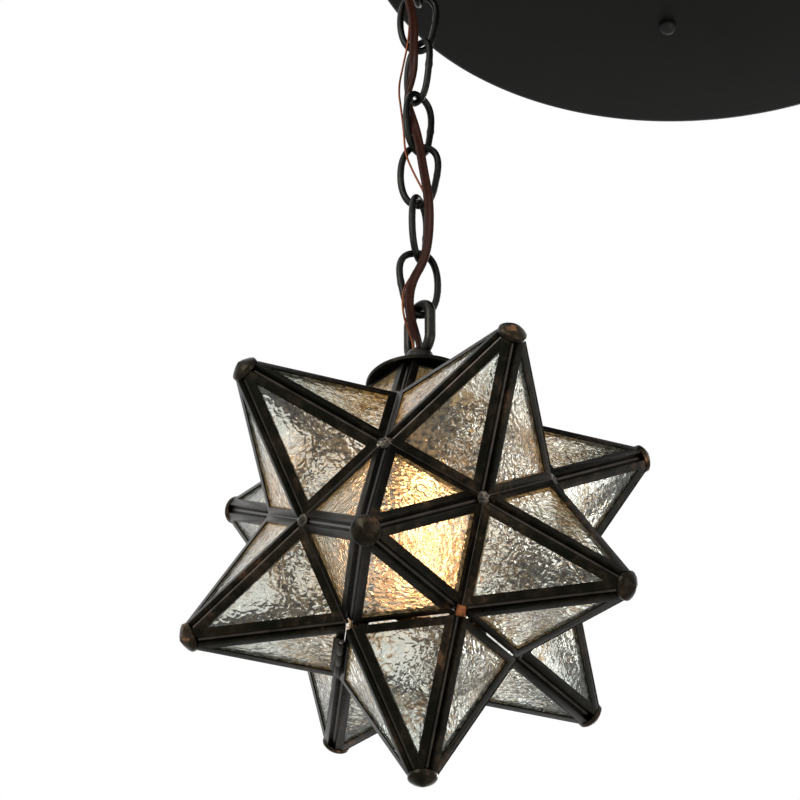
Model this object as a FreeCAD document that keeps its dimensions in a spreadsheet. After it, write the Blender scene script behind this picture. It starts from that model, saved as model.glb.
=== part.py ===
import FreeCAD, Part
import math
import os
import Sketcher

# Star pendant: a twelve-pointed star of glass panes in soldered channel strips, hung on a
# welded chain from a wide round ceiling pan. The bottom point is a hinged door for the bulb.
# Millimetres, +Z up. The origin is on the ceiling, at the middle of the pan.

V = FreeCAD.Vector
GOLDEN = (1.0 + math.sqrt(5.0)) / 2.0

SIZES = [
    # star and its points
    ("star_radius", 140.0, "centre to the sharp end of a point, before its tip is cut"),
    ("star_turn", 23.1, "degrees from the front to the first upper point"),
    ("tip_cut", 9.5, "length cut off each point, where its finial sits"),
    ("top_cut", 43.0, "length cut off the top point, where the cap sits"),
    ("door_gap", 0.8, "how much lower the door hangs than a fixed point"),
    # channel strip and glass
    ("strip_depth", 4.6, "channel, across the pane"),
    ("strip_flange", 4.3, "channel flange, along the pane"),
    ("strip_wall", 0.8, "channel side wall"),
    ("solder_gap", 0.02, "between neighbouring channels, where solder joins them"),
    ("valley_gap", 0.15, "each side of the line where two points meet"),
    ("glass_thick", 2.6, "pane"),
    ("glass_play", 0.15, "pane to channel, each side"),
    # finials
    ("finial_radius", 7.6, ""),
    ("finial_collar", 2.4, "straight part"),
    ("finial_cone", 4.2, "low cone above the collar"),
    ("finial_round", 1.3, "slope between collar and cone"),
    # top cap and fixture loop
    ("cap_radius", 29.2, ""),
    ("cap_thick", 1.4, ""),
    ("cap_lip", 2.2, "bead round the rim"),
    ("boss_radius", 12.5, "foot of the loop's bell"),
    ("boss_foot", 2.2, "height of that foot"),
    ("boss_neck", 7.6, "radius at the bell's top"),
    ("boss_height", 23.0, ""),
    ("ring_wire", 6.2, "loop wire"),
    ("ring_width", 18.5, "loop, between wire centres"),
    ("ring_turn", 52.0, "degrees the loop is turned from the view"),
    ("cord_bore", 4.3, "radius of the cord's way through the loops"),
    # chain
    ("link_wire", 4.0, ""),
    ("link_width", 20.4, "between wire centres"),
    ("link_pitch", 37.3, "one link to the next"),
    ("link_play", 0.3, "gap where links bear on each other"),
    ("link_count", 7.0, ""),
    ("loop_rise", 51.6714, "top of the cap to the wire the lowest link hangs its loop by"),
    # lampholder and bulb
    ("nipple_radius", 5.0, ""),
    ("nipple_bore", 3.6, ""),
    ("nipple_drop", 11.0, "below the cap"),
    ("nut_radius", 8.5, "lock nut, over its corners"),
    ("nut_thick", 3.5, ""),
    ("holder_radius", 18.0, "lampholder shell"),
    ("holder_length", 38.0, ""),
    ("holder_cap", 15.0, "height of the lampholder's bell"),
    ("holder_wall", 1.0, ""),
    ("socket_radius", 14.2, "inside of the screw socket"),
    ("bulb_base_radius", 13.1, ""),
    ("bulb_base_length", 25.0, ""),
    ("bulb_radius", 29.5, ""),
    ("bulb_length", 78.0, "glass below the lampholder"),
    ("bulb_wall", 0.9, ""),
    ("stem_length", 26.0, "glass stem inside the bulb"),
    ("stem_foot", 4.5, "its radius at the base"),
    ("filament_length", 36.0, "upright glowing strips"),
    ("filament_circle", 9.0, "radius they stand on"),
    ("filament_radius", 0.9, ""),
    ("support_radius", 0.4, "wires that carry them"),
    # hinge and catch of the door
    ("hinge_length", 33.0, ""),
    ("barrel_radius", 1.9, ""),
    ("barrel_lift", 1.0, "barrel to the channel it stands over"),
    ("leaf_thick", 0.7, ""),
    ("leaf_width", 3.9, ""),
    ("knuckle_gap", 0.35, ""),
    ("pin_radius", 0.8, ""),
    ("pin_play", 0.05, ""),
    ("pin_head", 0.8, ""),
    ("catch_width", 7.0, ""),
    ("catch_thick", 0.6, ""),
    ("catch_height", 6.5, ""),
    # ceiling pan and its fixings
    ("pan_radius", 203.2, ""),
    ("hang_inset", 35.7, "pan's edge to the chain's axis"),
    ("pan_depth", 22.0, ""),
    ("pan_wall", 1.4, ""),
    ("pan_round", 2.0, "bevel at the pan's lower edge"),
    ("loop_drop", 33.3, "underside of the pan to the wire that the top link hangs on"),
    ("screw_circle", 105.0, "middle of the pan to each canopy screw"),
    ("screw_turn", 5.9, "degrees the crossbar is turned"),
    ("screw_radius", 2.0, ""),
    ("screw_play", 0.3, ""),
    ("cap_nut_radius", 5.2, ""),
    ("cap_nut_height", 6.0, ""),
    ("bar_width", 22.0, ""),
    ("bar_thick", 2.6, ""),
    ("bar_over", 12.0, "crossbar past each canopy screw"),
    ("box_spacing", 88.9, "between the outlet box screws"),
    ("box_hole", 2.5, "radius"),
    ("collar_radius", 11.0, "foot of the canopy loop"),
    ("collar_neck", 6.6, ""),
    ("collar_height", 13.0, ""),
    ("stem_radius", 6.0, "threaded stem of the canopy loop"),
    ("stem_rise", 9.0, "above the pan's sheet"),
    # cord and ground wire
    ("cord_width", 5.4, "flat twin lamp cord"),
    ("cord_thick", 2.8, ""),
    ("wire_radius", 0.6, "bare ground wire"),
]


# ---------------------------------------------------------------- document and sizes
doc = FreeCAD.newDocument("star_pendant")
sheet = doc.addObject("Spreadsheet::Sheet", "Sizes")
for row, (alias, value, note) in enumerate(SIZES, start=1):
    sheet.set("A%d" % row, alias)
    sheet.set("B%d" % row, str(value))
    sheet.set("C%d" % row, note)
    sheet.setAlias("B%d" % row, alias)
doc.recompute()


def size(alias):
    return float(sheet.get(alias))


PIECES = []


def keep(obj, label):
    obj.Label = label
    PIECES.append(obj)
    return obj


def feature(label, shape, placement=None):
    obj = doc.addObject("Part::Feature", label)
    obj.Shape = shape
    if placement is not None:
        obj.Placement = placement
    return keep(obj, label)


def with_sheet(text):
    words = sorted((alias for alias, value, note in SIZES), key=len, reverse=True)
    out = ""
    place = 0
    while place < len(text):
        hit = None
        if place == 0 or not (text[place - 1].isalnum() or text[place - 1] == "_"):
            for word in words:
                end = place + len(word)
                if text.startswith(word, place) and not text[end:end + 1].replace("_", "a").isalnum():
                    hit = word
                    break
        out += "Sizes." + hit if hit else text[place]
        place += len(hit) if hit else 1
    return out


# ---------------------------------------------------------------- turned pieces
def lathe(label, profile, placement=None):
    """A body turned about Z: profile is (radius, height) in sheet expressions, all straight."""
    body = doc.addObject("PartDesign::Body", label)
    plane = [o for o in body.Origin.OriginFeatures if o.Role == "XZ_Plane"][0]
    sketch = body.newObject("Sketcher::SketchObject", label + "_profile")
    sketch.AttachmentSupport = (plane, [""])
    sketch.MapMode = "FlatFace"
    probe = doc.addObject("App::FeaturePython", label + "_probe")
    points = []
    for index, (radius, height) in enumerate(profile):
        for axis, text in (("r", radius), ("h", height)):
            name = axis + str(index)
            probe.addProperty("App::PropertyFloat", name)
            probe.setExpression(name, with_sheet(text))
    doc.recompute()
    for index in range(len(profile)):
        points.append(V(getattr(probe, "r%d" % index), getattr(probe, "h%d" % index), 0))
    doc.removeObject(probe.Name)
    count = len(points)
    for index in range(count):
        sketch.addGeometry(Part.LineSegment(points[index], points[(index + 1) % count]), False)
    for index in range(count):
        sketch.addConstraint(Sketcher.Constraint("Coincident", index, 2, (index + 1) % count, 1))
    for index, (radius, height) in enumerate(profile):
        for kind, value, text in (("DistanceX", points[index].x, radius), ("DistanceY", points[index].y, height)):
            if abs(value) < 1e-9:
                on_axis = -2 if kind == "DistanceX" else -1
                sketch.addConstraint(Sketcher.Constraint("PointOnObject", index, 1, on_axis))
                continue
            number = sketch.addConstraint(Sketcher.Constraint(kind, -1, 1, index, 1, value))
            sketch.setExpression("Constraints[%d]" % number, with_sheet(text))
    turn = body.newObject("PartDesign::Revolution", label + "_turned")
    turn.Profile = sketch
    turn.ReferenceAxis = (sketch, ["V_Axis"])
    turn.Angle = 360.0
    doc.recompute()
    if placement is not None:
        body.Placement = placement
    return body


# ---------------------------------------------------------------- star geometry
R = size("star_radius")
BASE_HEIGHT = R / math.sqrt(5.0)                 # centre to the plane under each point
BASE_RADIUS = BASE_HEIGHT * 2.0 / GOLDEN ** 2    # corners of that pentagon
HALF_RIDGE = math.atan(GOLDEN)                   # half the angle between neighbouring panes
PANE_TILT = math.atan(0.5)                       # a pane's lean towards its point's axis
HANG_AXIS = V(size("hang_inset") - size("pan_radius"), 0, 0)
PAN_FACE = -size("pan_depth")

# Heights down the chain, from the pan to the star's centre.
LINK_COUNT = int(round(size("link_count")))
LINK_HEIGHT = size("link_pitch") + size("link_wire") + size("link_play")
BEARING = (size("link_wire") + size("ring_wire")) / 2.0 + size("link_play")
LOOP_LOW = PAN_FACE - size("loop_drop")
CHAIN_FOOT = LOOP_LOW + BEARING - LINK_HEIGHT / 2.0 - (LINK_COUNT - 1) * size("link_pitch")
RING_TOP = CHAIN_FOOT - LINK_HEIGHT / 2.0 + BEARING
CAP_TOP = RING_TOP - size("loop_rise")
CAP_SEAT = CAP_TOP - size("cap_thick")
STAR_CENTRE = HANG_AXIS + V(0, 0, CAP_SEAT - R + size("top_cut") - size("strip_depth") / 2.0 * math.sin(PANE_TILT))


def azimuth(degrees):
    angle = math.radians(degrees)
    return V(math.sin(angle), -math.cos(angle), 0)


def ring_tip(number, upper):
    turn = size("star_turn") + 72.0 * number + (0.0 if upper else 36.0)
    flat = azimuth(turn) * (2.0 / math.sqrt(5.0))
    return flat + V(0, 0, (1.0 if upper else -1.0) / math.sqrt(5.0))


TIPS = {"top": V(0, 0, 1), "door": V(0, 0, -1)}
for place in range(5):
    TIPS["upper_%d" % (place + 1)] = ring_tip(place, True)
    TIPS["lower_%d" % (place + 1)] = ring_tip(place, False)


def point_placement(name):
    """Turns a point drawn along +Z, with a base corner over +X, to its place on the star."""
    axis = TIPS[name]
    beside = [t for t in TIPS.values() if abs(axis.dot(t) - 1.0 / math.sqrt(5.0)) < 1e-6]
    first = beside[0]
    second = [t for t in beside if abs(first.dot(t) - 1.0 / math.sqrt(5.0)) < 1e-6][0]
    corner = axis + first + second
    across = corner - axis * corner.dot(axis)
    across.normalize()
    up = axis.cross(across)
    matrix = FreeCAD.Matrix(
        across.x, up.x, axis.x, STAR_CENTRE.x,
        across.y, up.y, axis.y, STAR_CENTRE.y,
        across.z, up.z, axis.z, STAR_CENTRE.z,
        0, 0, 0, 1)
    place = FreeCAD.Placement(matrix)
    if name == "door":
        place.Base = place.Base - V(0, 0, size("door_gap"))
    return place


def base_corner(number):
    angle = math.radians(72.0 * number)
    return V(BASE_RADIUS * math.cos(angle), BASE_RADIUS * math.sin(angle), BASE_HEIGHT)


def pane_corners(cut):
    """Corners of the first pane of a point along +Z, cut off that far below its sharp end."""
    left, right, tip = base_corner(0), base_corner(1), V(0, 0, R)
    if cut == 0:
        return [left, right, tip]
    share = cut / (R - BASE_HEIGHT)
    return [left, right, tip + (right - tip) * share, tip + (left - tip) * share]


def inset(corners, insets):
    """The corners moved in by insets[i] from the side that runs from corner i to i + 1."""
    normal = (corners[1] - corners[0]).cross(corners[2] - corners[1])
    normal.normalize()
    count = len(corners)
    sides = []
    for index in range(count):
        along = corners[(index + 1) % count] - corners[index]
        along.normalize()
        sides.append((corners[index] + normal.cross(along) * insets[index], along))
    moved = []
    for index in range(count):
        start, along = sides[index]
        back, before = sides[index - 1]
        inward = normal.cross(before)
        moved.append(start + along * ((back - start).dot(inward) / along.dot(inward)))
    return moved


def slab(corners, low, high):
    """A flat plate on the corners, from low to high along their outward normal."""
    normal = (corners[1] - corners[0]).cross(corners[2] - corners[1])
    normal.normalize()
    lifted = [c + normal * low for c in corners]
    return Part.Face(Part.makePolygon(lifted + lifted[:1])).extrude(normal * (high - low))


def pane_insets(cut, extra):
    """How far in each side of a pane's channel starts: the base side and the ridge sides."""
    half = size("strip_depth") / 2.0 / GOLDEN
    base = half + size("valley_gap") + extra
    ridge = half + size("solder_gap") / 2.0 / math.sin(HALF_RIDGE) + extra
    return [base, ridge, ridge] if cut == 0 else [base, ridge, extra, ridge]


def channel(cut):
    """One pane's channel: a mitred frame, U-shaped in section, open towards the pane."""
    corners = pane_corners(cut)
    half = size("strip_depth") / 2.0
    slot = size("glass_thick") / 2.0 + size("glass_play")
    outer = slab(inset(corners, pane_insets(cut, 0.0)), -half, half)
    window = slab(inset(corners, pane_insets(cut, size("strip_flange"))), -2 * half, 2 * half)
    groove = slab(inset(corners, pane_insets(cut, size("strip_wall"))), -slot, slot)
    return outer.cut(window).cut(groove)


def pane(cut):
    """One pane of glass, with its edges inside the channel."""
    corners = pane_corners(cut)
    half = size("glass_thick") / 2.0
    play = size("strip_wall") + 2.0 * size("glass_play")
    return slab(inset(corners, pane_insets(cut, play)), -half, half)


def below(height):
    """The half space under a height, as a wide block."""
    return Part.makeBox(2 * R, 2 * R, 2 * R, V(-R, -R, height - 2 * R))


def turned(shape, number):
    copy = shape.copy()
    copy.rotate(V(0, 0, 0), V(0, 0, 1), 72.0 * number)
    return copy


def point_frame(cut):
    """Five channels, one round each pane, that meet along the point's ridges."""
    one = channel(cut)
    if cut == 0:
        one = one.common(below(R - size("tip_cut"))).removeSplitter()
    return Part.makeCompound([turned(solid, number) for number in range(5) for solid in one.Solids])


def point_panes(cut):
    one = pane(cut)
    if cut == 0:
        one = one.common(below(R - size("tip_cut") - 2.0 * size("glass_play")))
    return Part.makeCompound([turned(one, number) for number in range(5)])


PLAIN_FRAME = point_frame(0)
PLAIN_PANES = point_panes(0)
POINTS = ["upper_%d" % n for n in range(1, 6)] + ["lower_%d" % n for n in range(1, 6)]

for name in POINTS:
    feature(name + "_frame", PLAIN_FRAME.copy(), point_placement(name))
    feature(name + "_panes", PLAIN_PANES.copy(), point_placement(name))
feature("top_frame", point_frame(size("top_cut")), point_placement("top"))
feature("top_panes", point_panes(size("top_cut")), point_placement("top"))
feature("door_panes", PLAIN_PANES.copy(), point_placement("door"))

# ---------------------------------------------------------------- finials
FINIAL_PROFILE = [
    ("0", "star_radius - tip_cut"),
    ("finial_radius", "star_radius - tip_cut"),
    ("finial_radius", "star_radius - tip_cut + finial_collar"),
    ("finial_radius - finial_round", "star_radius - tip_cut + finial_collar + finial_round"),
    ("0", "star_radius - tip_cut + finial_collar + finial_cone"),
]
finial = lathe("finial_pattern", FINIAL_PROFILE)
finial_shapes = []
for name in POINTS:
    copy = finial.Shape.copy()
    copy.Placement = point_placement(name)
    finial_shapes.append(copy)
feature("finials", Part.makeCompound(finial_shapes))
finial.Placement = point_placement("door")
keep(finial, "door_finial")

# ---------------------------------------------------------------- door hinge and catch
# The hinge stands in the valley between the door and the lower point on its left.
HINGE_TURN = size("star_turn") + 72.0 * 3 + 36.0
HINGE_OUT = azimuth(HINGE_TURN)
HINGE_ALONG = HINGE_OUT.cross(V(0, 0, 1))
valley = HINGE_OUT * (BASE_RADIUS * math.cos(math.radians(36.0))) - V(0, 0, BASE_HEIGHT)
OUTWARD = V(valley)
OUTWARD.normalize()
face_meet = size("strip_depth") / 2.0 / math.sin(HALF_RIDGE)
axis_lift = size("barrel_radius") + size("barrel_lift")
HINGE_POINT = STAR_CENTRE + valley + OUTWARD * (face_meet + axis_lift / math.sin(HALF_RIDGE))


def hinge_cylinder(radius, start, length):
    return Part.makeCylinder(radius, length, HINGE_POINT + HINGE_ALONG * start, HINGE_ALONG)


def leaf_directions(name):
    """Along the channel face away from the valley, and out of that face."""
    side = 1.0 if name == "door" else -1.0
    sideways = HINGE_ALONG.cross(OUTWARD)
    if sideways.z > 0:
        sideways = sideways * -1.0
    sideways = sideways * side
    along = OUTWARD * math.cos(HALF_RIDGE) + sideways * math.sin(HALF_RIDGE)
    out = OUTWARD * math.sin(HALF_RIDGE) - sideways * math.cos(HALF_RIDGE)
    return along, out


def leaf(name, knuckles):
    """A flat leaf on a channel's face, with its own knuckles round the pin."""
    along, out = leaf_directions(name)
    length = size("hinge_length")
    seat = STAR_CENTRE + valley + OUTWARD * face_meet
    if name == "door":
        seat = seat - V(0, 0, size("door_gap"))
    foot = (HINGE_POINT - seat).dot(along)
    lift = (HINGE_POINT - seat).dot(out)
    thick = size("leaf_thick")

    def block(start, stop, near, far, height):
        corner = seat + along * near + HINGE_ALONG * start
        corners = [corner, corner + along * (far - near)]
        corners += [corners[1] + HINGE_ALONG * (stop - start), corner + HINGE_ALONG * (stop - start)]
        return Part.Face(Part.makePolygon(corners + corners[:1])).extrude(out * height)

    reach = foot + size("leaf_width")
    plate = block(-length / 2, length / 2, foot - thick / 2, reach, thick)
    plate = plate.cut(hinge_cylinder(size("barrel_radius") + size("knuckle_gap"), -length, 2 * length))
    for start, stop in knuckles:
        web = block(start, stop, foot - thick / 2, foot + thick, lift)
        tongue = block(start, stop, foot - thick / 2, reach, thick)
        plate = plate.fuse([hinge_cylinder(size("barrel_radius"), start, stop - start), web, tongue])
    bore = hinge_cylinder(size("pin_radius") + size("pin_play"), -length, 2 * length)
    return plate.cut(bore).removeSplitter()


third = size("hinge_length") / 3.0
slack = size("knuckle_gap") / 2.0
fixed_leaf = leaf("point", [(-1.5 * third, -0.5 * third - slack), (0.5 * third + slack, 1.5 * third)])
door_leaf = leaf("door", [(-0.5 * third + slack, 0.5 * third - slack)])
feature("hinge_leaf_fixed", fixed_leaf)
feature("hinge_leaf_door", door_leaf)
pin_length = size("hinge_length") + 2.0 * size("knuckle_gap")
pin = hinge_cylinder(size("pin_radius"), -pin_length / 2, pin_length)
for end in (-1, 1):
    start = end * pin_length / 2 - (size("pin_head") if end < 0 else 0.0)
    pin = pin.fuse(hinge_cylinder(size("pin_radius") * 1.6, start, size("pin_head")))
feature("hinge_pin", pin)

# The catch is a sprung tongue soldered inside the door, opposite the hinge.
CATCH_OUT = azimuth(HINGE_TURN - 216.0)


def catch_shape():
    """A bent strip: its foot lies on the inside of the door's channel, its end stands in the mouth."""
    across = CATCH_OUT.cross(V(0, 0, 1))
    thick, height = size("catch_thick"), size("catch_height")
    edge = STAR_CENTRE + CATCH_OUT * (BASE_RADIUS * math.cos(math.radians(36.0)))
    edge = edge - V(0, 0, BASE_HEIGHT + size("door_gap")) - across * (size("catch_width") / 2)
    down = CATCH_OUT * -math.sin(PANE_TILT) - V(0, 0, math.cos(PANE_TILT))
    inward = CATCH_OUT * -math.cos(PANE_TILT) + V(0, 0, math.sin(PANE_TILT))
    seat = edge + inward * (size("strip_depth") / 2)
    bend = seat + down * (size("strip_depth") / 2 / GOLDEN)
    foot = bend + down * (size("strip_flange") * 0.8)
    top = bend + V(0, 0, height) + CATCH_OUT * thick
    lean = CATCH_OUT * -thick
    corners = [foot, bend, bend + V(0, 0, height * 0.6), top, top + lean, bend + V(0, 0, height * 0.6) + lean * 1.2]
    corners += [bend + inward * thick * 1.3, foot + inward * thick]
    return Part.Face(Part.makePolygon(corners + corners[:1])).extrude(across * size("catch_width"))


door_place = point_placement("door")
door_frame = PLAIN_FRAME.copy()
door_frame.Placement = door_place
feature("door_frame", door_frame)
feature("door_catch", catch_shape())

# ---------------------------------------------------------------- top cap and fixture loop
def up_from(height):
    return FreeCAD.Placement(V(HANG_AXIS.x, HANG_AXIS.y, height), FreeCAD.Rotation())


top_cap = lathe("top_cap", [
    ("nipple_radius + glass_play", "0"),
    ("cap_radius - cap_lip / 4", "0"),
    ("cap_radius", "cap_lip / 4"),
    ("cap_radius", "cap_lip"),
    ("cap_radius - cap_lip / 3", "cap_lip * 1.2"),
    ("cap_radius - cap_lip", "cap_thick"),
    ("nipple_radius + glass_play", "cap_thick"),
], up_from(CAP_SEAT))
keep(top_cap, "top_cap")


def oval_solid(width, height, wire, centre, across):
    """Round wire bent to a closed oval: two half tori and two straight legs."""
    radius = width / 2.0
    leg = height / 2.0 - radius
    normal = across.cross(V(0, 0, 1))
    pieces = []
    for end in (1.0, -1.0):
        middle = centre + V(0, 0, end * leg)
        section = Part.Face(Part.Wire(Part.makeCircle(wire / 2.0, middle + across * radius, V(0, 0, 1))))
        pieces.append(section.revolve(middle, normal, 180.0 * end))
    for side in (1.0, -1.0):
        foot = centre + across * (side * radius) - V(0, 0, leg)
        pieces.append(Part.makeCylinder(wire / 2.0, 2 * leg, foot, V(0, 0, 1)))
    return pieces[0].multiFuse(pieces[1:]).removeSplitter()


ring_angle = math.radians(size("ring_turn"))
RING_ACROSS = V(math.cos(ring_angle), -math.sin(ring_angle), 0)


def bell(foot_radius, foot, neck, height):
    """A bell's outline: a flat foot, a quarter-round shoulder and a rounded neck."""
    shoulder = (foot_radius - neck) * 0.6
    knee = foot + (height - foot) * 0.45
    edges = [
        Part.LineSegment(V(0, 0, 0), V(foot_radius, 0, 0)).toShape(),
        Part.LineSegment(V(foot_radius, 0, 0), V(foot_radius, 0, foot)).toShape(),
        Part.Arc(V(foot_radius, 0, foot), V(foot_radius - shoulder, 0, knee), V(neck, 0, height - neck / 2)).toShape(),
        Part.Arc(V(neck, 0, height - neck / 2), V(neck * 0.75, 0, height - neck * 0.13), V(0, 0, height)).toShape(),
        Part.LineSegment(V(0, 0, height), V(0, 0, 0)).toShape(),
    ]
    return Part.Face(Part.Wire(edges)).revolve(V(0, 0, 0), V(0, 0, 1), 360.0)


def fixture_loop():
    """The cast loop on the cap: an oval ring on a bell, with the cord's way through both."""
    shape = bell(size("boss_radius"), size("boss_foot"), size("boss_neck"), size("boss_height"))
    shape.translate(V(HANG_AXIS.x, HANG_AXIS.y, CAP_TOP))
    ring_foot = CAP_TOP + size("boss_height") - size("ring_wire") / 2.0
    height = RING_TOP - ring_foot
    centre = V(HANG_AXIS.x, HANG_AXIS.y, (RING_TOP + ring_foot) / 2.0)
    ring = oval_solid(size("ring_width"), height, size("ring_wire"), centre, RING_ACROSS)
    way = Part.makeCylinder(size("cord_bore"), size("boss_height") + size("ring_wire"), V(centre.x, centre.y, CAP_TOP))
    thread = Part.makeCylinder(size("nipple_radius"), size("boss_height") / 2.0, V(centre.x, centre.y, CAP_TOP))
    return shape.fuse(ring).cut(way).cut(thread).removeSplitter()


feature("fixture_loop", fixture_loop())

# ---------------------------------------------------------------- nipple, lampholder and bulb
keep(lathe("nipple", [
    ("nipple_bore", "-nipple_drop"),
    ("nipple_radius - glass_play / 3", "-nipple_drop"),
    ("nipple_radius - glass_play / 3", "cap_thick + boss_height / 2 - 1"),
    ("nipple_bore", "cap_thick + boss_height / 2 - 1"),
], up_from(CAP_SEAT)), "nipple")


def hex_nut(radius, bore, thick, centre):
    corners = []
    for number in range(7):
        angle = math.radians(60.0 * number)
        corners.append(centre + V(radius * math.cos(angle), radius * math.sin(angle), 0))
    block = Part.Face(Part.makePolygon(corners)).extrude(V(0, 0, thick))
    return block.cut(Part.makeCylinder(bore, thick, centre))


nut_seat = CAP_SEAT - size("nut_thick")
feature("lock_nut", hex_nut(size("nut_radius"), size("nipple_radius"), size("nut_thick"), V(HANG_AXIS.x, 0, nut_seat)))

HOLDER_TOP = nut_seat - size("link_play")
keep(lathe("lampholder_cap", [
    ("nipple_radius", "0"),
    ("nipple_radius + 3 * holder_wall", "0"),
    ("nipple_radius + 3 * holder_wall", "-holder_cap * 0.3"),
    ("holder_radius * 0.82", "-holder_cap * 0.55"),
    ("holder_radius", "-holder_cap * 0.9"),
    ("holder_radius", "-holder_cap"),
    ("holder_radius - holder_wall", "-holder_cap"),
    ("holder_radius - holder_wall", "-holder_cap * 0.85"),
    ("holder_radius * 0.75", "-holder_cap * 0.6"),
    ("nipple_radius", "-holder_cap * 0.45"),
], up_from(HOLDER_TOP)), "lampholder_cap")

SHELL_TOP = HOLDER_TOP - size("holder_cap")
keep(lathe("lampholder_shell", [
    ("holder_radius - 2 * holder_wall", "0"),
    ("holder_radius", "0"),
    ("holder_radius", "-holder_length * 0.9"),
    ("holder_radius + holder_wall", "-holder_length * 0.94"),
    ("holder_radius + holder_wall", "-holder_length"),
    ("holder_radius - 2 * holder_wall", "-holder_length"),
], up_from(SHELL_TOP)), "lampholder_shell")

keep(lathe("socket_insert", [
    ("0", "0"),
    ("holder_radius - 2 * holder_wall - glass_play", "0"),
    ("holder_radius - 2 * holder_wall - glass_play", "-holder_length + 1"),
    ("socket_radius", "-holder_length + 1"),
    ("socket_radius", "-holder_length + bulb_base_length + 2"),
    ("4", "-holder_length + bulb_base_length + 2"),
    ("4", "-holder_length + bulb_base_length + link_play"),
    ("0", "-holder_length + bulb_base_length + link_play"),
], up_from(SHELL_TOP)), "socket_insert")

BULB_COLLAR = SHELL_TOP - size("holder_length")
keep(lathe("bulb_base", [
    ("0", "bulb_base_length"),
    ("bulb_base_radius * 0.35", "bulb_base_length"),
    ("bulb_base_radius * 0.8", "bulb_base_length * 0.86"),
    ("bulb_base_radius", "bulb_base_length * 0.8"),
    ("bulb_base_radius", "0"),
    ("0", "0"),
], up_from(BULB_COLLAR)), "bulb_base")


def bulb_outline(shrink):
    """Half of the bulb's outline below its base: neck, flare and round end."""
    radius = size("bulb_radius")
    neck = size("bulb_base_radius") - 2 * size("glass_play")
    middle = -(size("bulb_length") - radius)
    angle = math.radians(28.0)
    touch = V((radius - shrink) * math.cos(angle), 0, middle + (radius - shrink) * math.sin(angle))
    top = V(neck - shrink, 0, -shrink)
    bend = V(neck - shrink + 1.8, 0, -size("bulb_length") * 0.2)
    low = math.radians(-31.0)
    round_end = V((radius - shrink) * math.cos(low), 0, middle + (radius - shrink) * math.sin(low))
    foot = V(0, 0, middle - radius + shrink)
    return [
        Part.LineSegment(V(0, 0, -shrink), top).toShape(),
        Part.Arc(top, bend, touch).toShape(),
        Part.Arc(touch, round_end, foot).toShape(),
        Part.LineSegment(foot, V(0, 0, -shrink)).toShape(),
    ]


def bulb_glass():
    outer = Part.Face(Part.Wire(bulb_outline(0.0))).revolve(V(0, 0, 0), V(0, 0, 1), 360.0)
    inner = Part.Face(Part.Wire(bulb_outline(size("bulb_wall")))).revolve(V(0, 0, 0), V(0, 0, 1), 360.0)
    return outer.cut(inner)


feature("bulb_glass", bulb_glass(), up_from(BULB_COLLAR))


def bulb_core():
    """Glass stem with a ring of upright glowing strips, inside the bulb."""
    top = -size("bulb_wall")
    low = top - size("stem_length") - size("filament_length")
    circle, wire = size("filament_circle"), size("support_radius")
    stem = Part.makeCone(size("stem_foot"), size("stem_foot") / 2, size("stem_length"), V(0, 0, top), V(0, 0, -1))
    hub = V(0, 0, top - size("stem_length"))
    strips = []
    for number in range(4):
        angle = math.radians(90.0 * number + 45.0)
        foot = V(circle * math.cos(angle), circle * math.sin(angle), low)
        reach = foot + V(0, 0, size("filament_length")) - hub
        strips.append(Part.makeCylinder(size("filament_radius"), size("filament_length"), foot, V(0, 0, 1)))
        strips.append(Part.makeCylinder(wire, reach.Length, hub, reach))
    ring = Part.makeTorus(circle, wire, V(0, 0, low), V(0, 0, 1))
    return stem.multiFuse(strips + [ring]).removeSplitter()


feature("bulb_core", bulb_core(), up_from(BULB_COLLAR))

# ---------------------------------------------------------------- chain
# Degrees that each link is turned about the chain's axis, from the lowest up; they repeat past the last.
LINK_TURNS = [8.0, 68.0, 2.0, 48.0, -52.0, 6.0, 80.0]


def link_across(number):
    angle = math.radians(LINK_TURNS[(number - 1) % len(LINK_TURNS)])
    return V(math.cos(angle), math.sin(angle), 0)


for number in range(1, LINK_COUNT + 1):
    middle = V(HANG_AXIS.x, 0, CHAIN_FOOT + (number - 1) * size("link_pitch"))
    link = oval_solid(size("link_width"), LINK_HEIGHT, size("link_wire"), middle, link_across(number))
    feature("chain_link_%d" % number, link)

# ---------------------------------------------------------------- ceiling pan and its fixings
BAR_OUT = V(-math.sin(math.radians(size("screw_turn"))), math.cos(math.radians(size("screw_turn"))), 0)

pan = lathe("canopy_pan_turned", [
    ("0", "-pan_depth"),
    ("pan_radius - pan_round", "-pan_depth"),
    ("pan_radius", "-pan_depth + pan_round"),
    ("pan_radius", "0"),
    ("pan_radius - pan_wall", "0"),
    ("pan_radius - pan_wall", "-pan_depth + pan_round + pan_wall / 2"),
    ("pan_radius - pan_round - pan_wall / 2", "-pan_depth + pan_wall"),
    ("0", "-pan_depth + pan_wall"),
])
holes = [Part.makeCylinder(size("stem_radius") + size("screw_play"), 3 * size("pan_wall"),
                           HANG_AXIS + V(0, 0, PAN_FACE - size("pan_wall")))]
for side in (1, -1):
    foot = BAR_OUT * (side * size("screw_circle")) + V(0, 0, PAN_FACE - size("pan_wall"))
    holes.append(Part.makeCylinder(size("screw_radius") + size("screw_play"), 3 * size("pan_wall"), foot))
feature("canopy_pan", pan.Shape.cut(Part.makeCompound(holes)))
doc.removeObject(pan.Name)


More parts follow.
